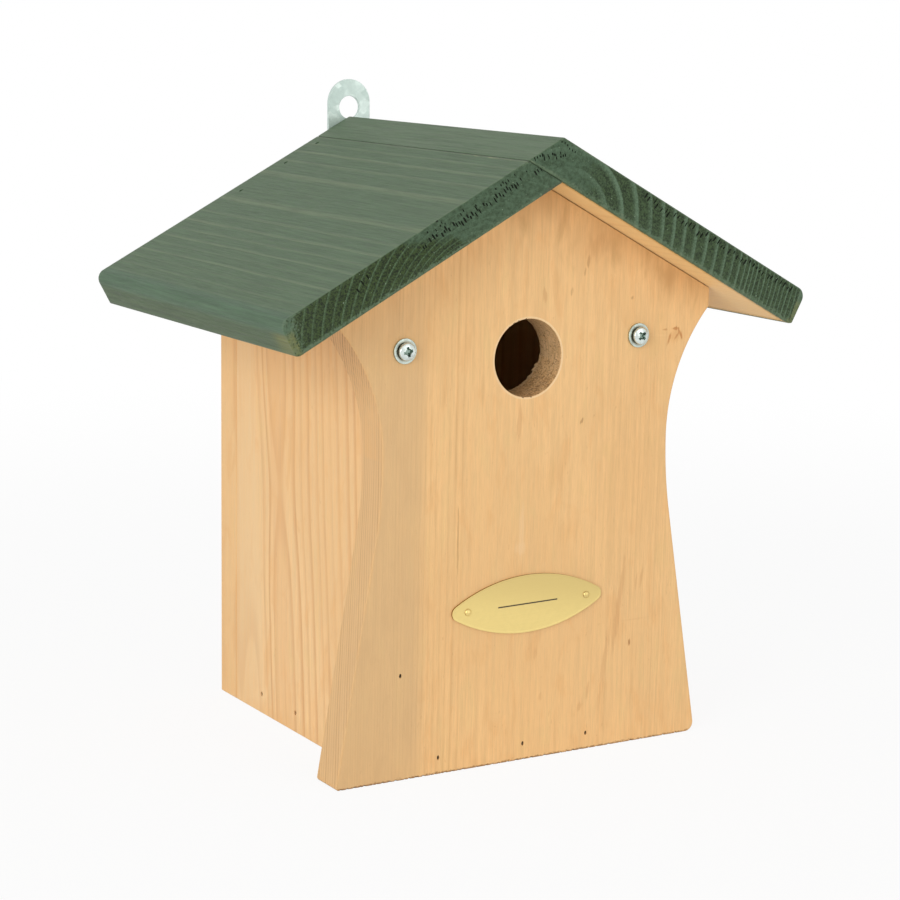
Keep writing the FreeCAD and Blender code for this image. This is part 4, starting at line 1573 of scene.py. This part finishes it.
LEFT_ROOF_RINGS = ((0, 0), (37, 5), (44, 9), (60, 15), (100, 25), (150, 36))
RIGHT_ROOF_RINGS = ((0, 0), (20, 2), (60, 8), (90, 14), (100, 18), (130, 31), (150, 39))
finish_with(roof_finish("left", -54.0, -40.0, LEFT_ROOF_RINGS, 0.74, 200.0), "left_roof")
finish_with(roof_finish("right", 8.0, -12.0, RIGHT_ROOF_RINGS, 0.6, 240.0), "right_roof")

# %% [markdown]
# ## Zinc, galvanising, brass and steel
#
# The screws and washers are zinc plated: bright, bluish, a little cloudy. The strip was dipped in
# hot zinc, which froze in pale patches, the spangle, so cells of a Voronoi pattern change its
# colour and its roughness. The plate is satin brass, brushed along its length, with one dark rule;
# its edge, where it turns away, is painted darker brown as a reflection of the wood and its shade.
# Painted shade darkens the screws' crosses and the washers round the heads. The nails are plain
# steel, dark where they are punched in.

# %% The metals
class Metal:
    """A metal with cloudy tarnish and fine grit, ready for its own shader values."""

    def __init__(self, name, base, cloudy=0.86):
        self.material, self.tree = new_finish(name)
        self.place = board_place(self.tree, "XYZ")
        self.clouds = noise(self.place, (2.4, 2.4, 2.4), 3.0, 0.6, 0.4)
        self.grit = noise(self.place, (0.25, 0.25, 0.25))
        dull = tuple(value * cloudy for value in base)
        self.tint = mixed(between(self.clouds, 0.3, 0.7), base, dull)

    def dress(self, tint, metallic, rough, **bump):
        return dress(self.material, {"Base Color": tint, "Metallic": metallic, "Roughness": rough}, **bump)


def zinc(name, base, axis=None):
    """Zinc plating, with painted shade in the driver's cross. A washer has painted shade, browned as a
    painted reflection of the wood, round its screw's neck, at axis.
    """
    metal = Metal(name, base)
    tint = metal.tint
    if axis:
        x, _, z = parts(metal.place)
        away = distance(x - axis.x / MM, z - axis.z / MM)
        # Painted shade in the gap under the screw's head, brown as a painted reflection of the wood.
        tint = mixed(between(away, 4.7, 3.5, 0.0, 0.75), tint, (132, 116, 90))
    # Painted shade in the driver's cross.
    tint = mixed(painted_on(metal.tree, "torn") * 0.9, tint, (126, 146, 134))
    return metal.dress(tint, 1.0, scaled(metal.clouds, 0.22, 0.40, 0.3, 0.7),
                       height=metal.grit, strength=0.25, depth=0.03)


def galvanised(name):
    metal = Metal(name, (212, 226, 219), 0.92)
    cell = parts(put(metal.tree, "TexVoronoi", {"Vector": metal.place, "Scale": 0.28}, output="Color"))[0]
    tint = mixed(scaled(cell, 0.0, 0.7), metal.tint, (188, 206, 199))
    return metal.dress(tint, 0.75, scaled(cell, 0.34, 0.55),
                       height=metal.grit + cell, strength=0.3, depth=0.05)


def brass(name):
    """Satin brass, brushed along its length, with one plain dark rule across its middle."""
    metal = Metal(name, (232, 208, 136), 0.985)
    turned = board_place(metal.tree, "XYZ", tuple(plate_middle / MM), (0, -PLATE_TILT, 0))
    brushed = noise(turned, (12.0, 0.14, 0.14), 3.0, 0.6)
    tint = mixed(scaled(brushed, 0.0, 0.2, 0.3, 0.7), metal.tint, (214, 189, 118))
    x, _, z = parts(turned)
    tint = mixed(between(x * 0.15 + z, -8.0, 12.0), tint, (212, 188, 122))
    # Painted reflection of the wood and painted shade on the plate's edge, where it turns away.
    tint = mixed(between(abs(facing(metal.tree, "Y")), 0.75, 0.35, 0.0, 0.8), tint, (146, 104, 46))
    rule = between(abs(z), 0.34, 0.22) * between(abs(x), 14.6, 14.4)
    tint = mixed(rule, tint, (58, 46, 24))
    return metal.dress(tint, rule * -0.8 + 0.85, scaled(brushed, 0.36, 0.46, 0.3, 0.7),
                       height=brushed, strength=0.25, depth=0.02)


def steel(name):
    metal = Metal(name, (48, 38, 29))
    return metal.dress(metal.tint, 0.6, scaled(metal.grit, 0.45, 0.65, 0.3, 0.7))


finish_with(zinc("zinc_plating", (226, 236, 231)), "left_screw", "right_screw",
            "upper_strip_screw", "lower_strip_screw")
for side, (start, _) in zip(("left", "right"), screw_spots("left", "right")):
    finish_with(zinc(side + "_washer_zinc", (196, 208, 199), start), side + "_washer_disc")
finish_with(galvanised("galvanising"), "hanging_strip")
finish_with(brass("satin_brass"), "brass_plate", "left_round_pin", "right_round_pin")
nail_steel = steel("nail_steel")
for name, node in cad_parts.items():
    if "nail" in name or "pins" in name or name.endswith("side_pin"):
        node.data.materials.clear()
        node.data.materials.append(nail_steel)

# %% [markdown]
# ## Floor, light and camera
#
# The house stands on a plain white floor. Two large soft lamps and an even white world light it
# from all round, so that its colours show about as they were chosen. The camera and clear
# reflections see the floor and the world plain white, and all other light sees them as they are.

# %% Floor, lamps and world
def shown_white(tree, low, high):
    """How much plain white the camera and clear reflections see, low near the house and high far off."""
    seen = tree.nodes.new("ShaderNodeLightPath").outputs
    looked = calc("MAXIMUM", Signal(seen["Is Camera Ray"]), Signal(seen["Is Glossy Ray"]))
    looked = calc("MAXIMUM", looked, Signal(seen["Is Transmission Ray"]))
    if low == high:
        return looked * high
    place = put(tree, "TexCoord", output="Object")
    away = put(tree, "VectorMath", {0: place}, output="Value", operation="LENGTH")
    return looked * between(away, 0.3, 1.0, low, high)


def white_to_camera(owner, output, plain, white, *share):
    """Shows a material's or a world's white shader to the camera and its plain one to other light."""
    owner.use_nodes = True
    tree = owner.node_tree
    tree.nodes.clear()
    shaders = {0: shown_white(tree, *share), 1: put(tree, *plain), 2: put(tree, *white)}
    end = tree.nodes.new(output)
    fill(end.inputs["Surface"], put(tree, "MixShader", shaders))


bpy.ops.mesh.primitive_plane_add(size=30, location=(0, 0, frame_bounds[0][2]))
floor_plane = bpy.context.object
floor_plane.name = "studio_floor"
material = bpy.data.materials.new("studio_floor")
white_to_camera(material, "ShaderNodeOutputMaterial", ("BsdfDiffuse", {"Color": (0.9, 0.9, 0.9, 1)}),
          ("Emission", {"Strength": 1.0}), 0.90, 1.0)
floor_plane.data.materials.append(material)
floor_plane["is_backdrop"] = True

world = bpy.data.worlds.new("studio")
bpy.context.scene.world = world
white_to_camera(world, "ShaderNodeOutputWorld", ("Background", {"Color": (1, 1, 1, 1), "Strength": 0.6}),
          ("Background", {"Color": (1, 1, 1, 1), "Strength": 1.0}), 1.0, 1.0)


def lamp(name, place, power):
    """A square soft lamp that points at the house."""
    data = bpy.data.lights.new(name, "AREA")
    data.size, data.energy = 1.3, power
    thing = bpy.data.objects.new(name, data)
    bpy.context.collection.objects.link(thing)
    thing.location = place
    thing.rotation_euler = (Vector((0, 0, 0.12)) - Vector(place)).to_track_quat("-Z", "Y").to_euler()


lamp("left_lamp", (-2.0, -1.1, 0.8), 25)
lamp("front_lamp", (0.7, -2.1, 0.6), 7)
print("lamps", [light.name for light in bpy.data.lights])

# %% [markdown]
# ## The camera
#
# The camera looks down at the left front corner from about 1.07 m, with a long lens. Its place and
# its turn are given, and the matrix is built from the three directions it looks along.

# %% Camera
AZIMUTH, ELEVATION, ROLL = math.radians(31.01), math.radians(10.53), math.radians(0.914)
EYE = Vector((-0.5220, -0.8742, 0.3096))
ahead = Vector((math.sin(AZIMUTH), math.cos(AZIMUTH), 0))
forward = ahead * math.cos(ELEVATION) + DOWN * math.sin(ELEVATION)
level = Vector((ahead.y, -ahead.x, 0))
over = level.cross(forward)
across = math.cos(ROLL) * level + math.sin(ROLL) * over
up_view = math.cos(ROLL) * over - math.sin(ROLL) * level
camera_data = bpy.data.cameras.new("camera")
camera_data.lens, camera_data.sensor_width = 95.46, 36
camera = bpy.data.objects.new("camera", camera_data)
bpy.context.collection.objects.link(camera)
turn = Matrix((across, up_view, -forward)).transposed().to_4x4()
camera.matrix_world = Matrix.Translation(EYE) @ turn
bpy.context.scene.camera = camera
bpy.context.scene.view_settings.view_transform = "Standard"

# %% [markdown]
# ## The end
#
# Last, the box of what now shows is measured, as the frame's was at the start.

# %% The box of what shows, and the end
low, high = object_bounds()
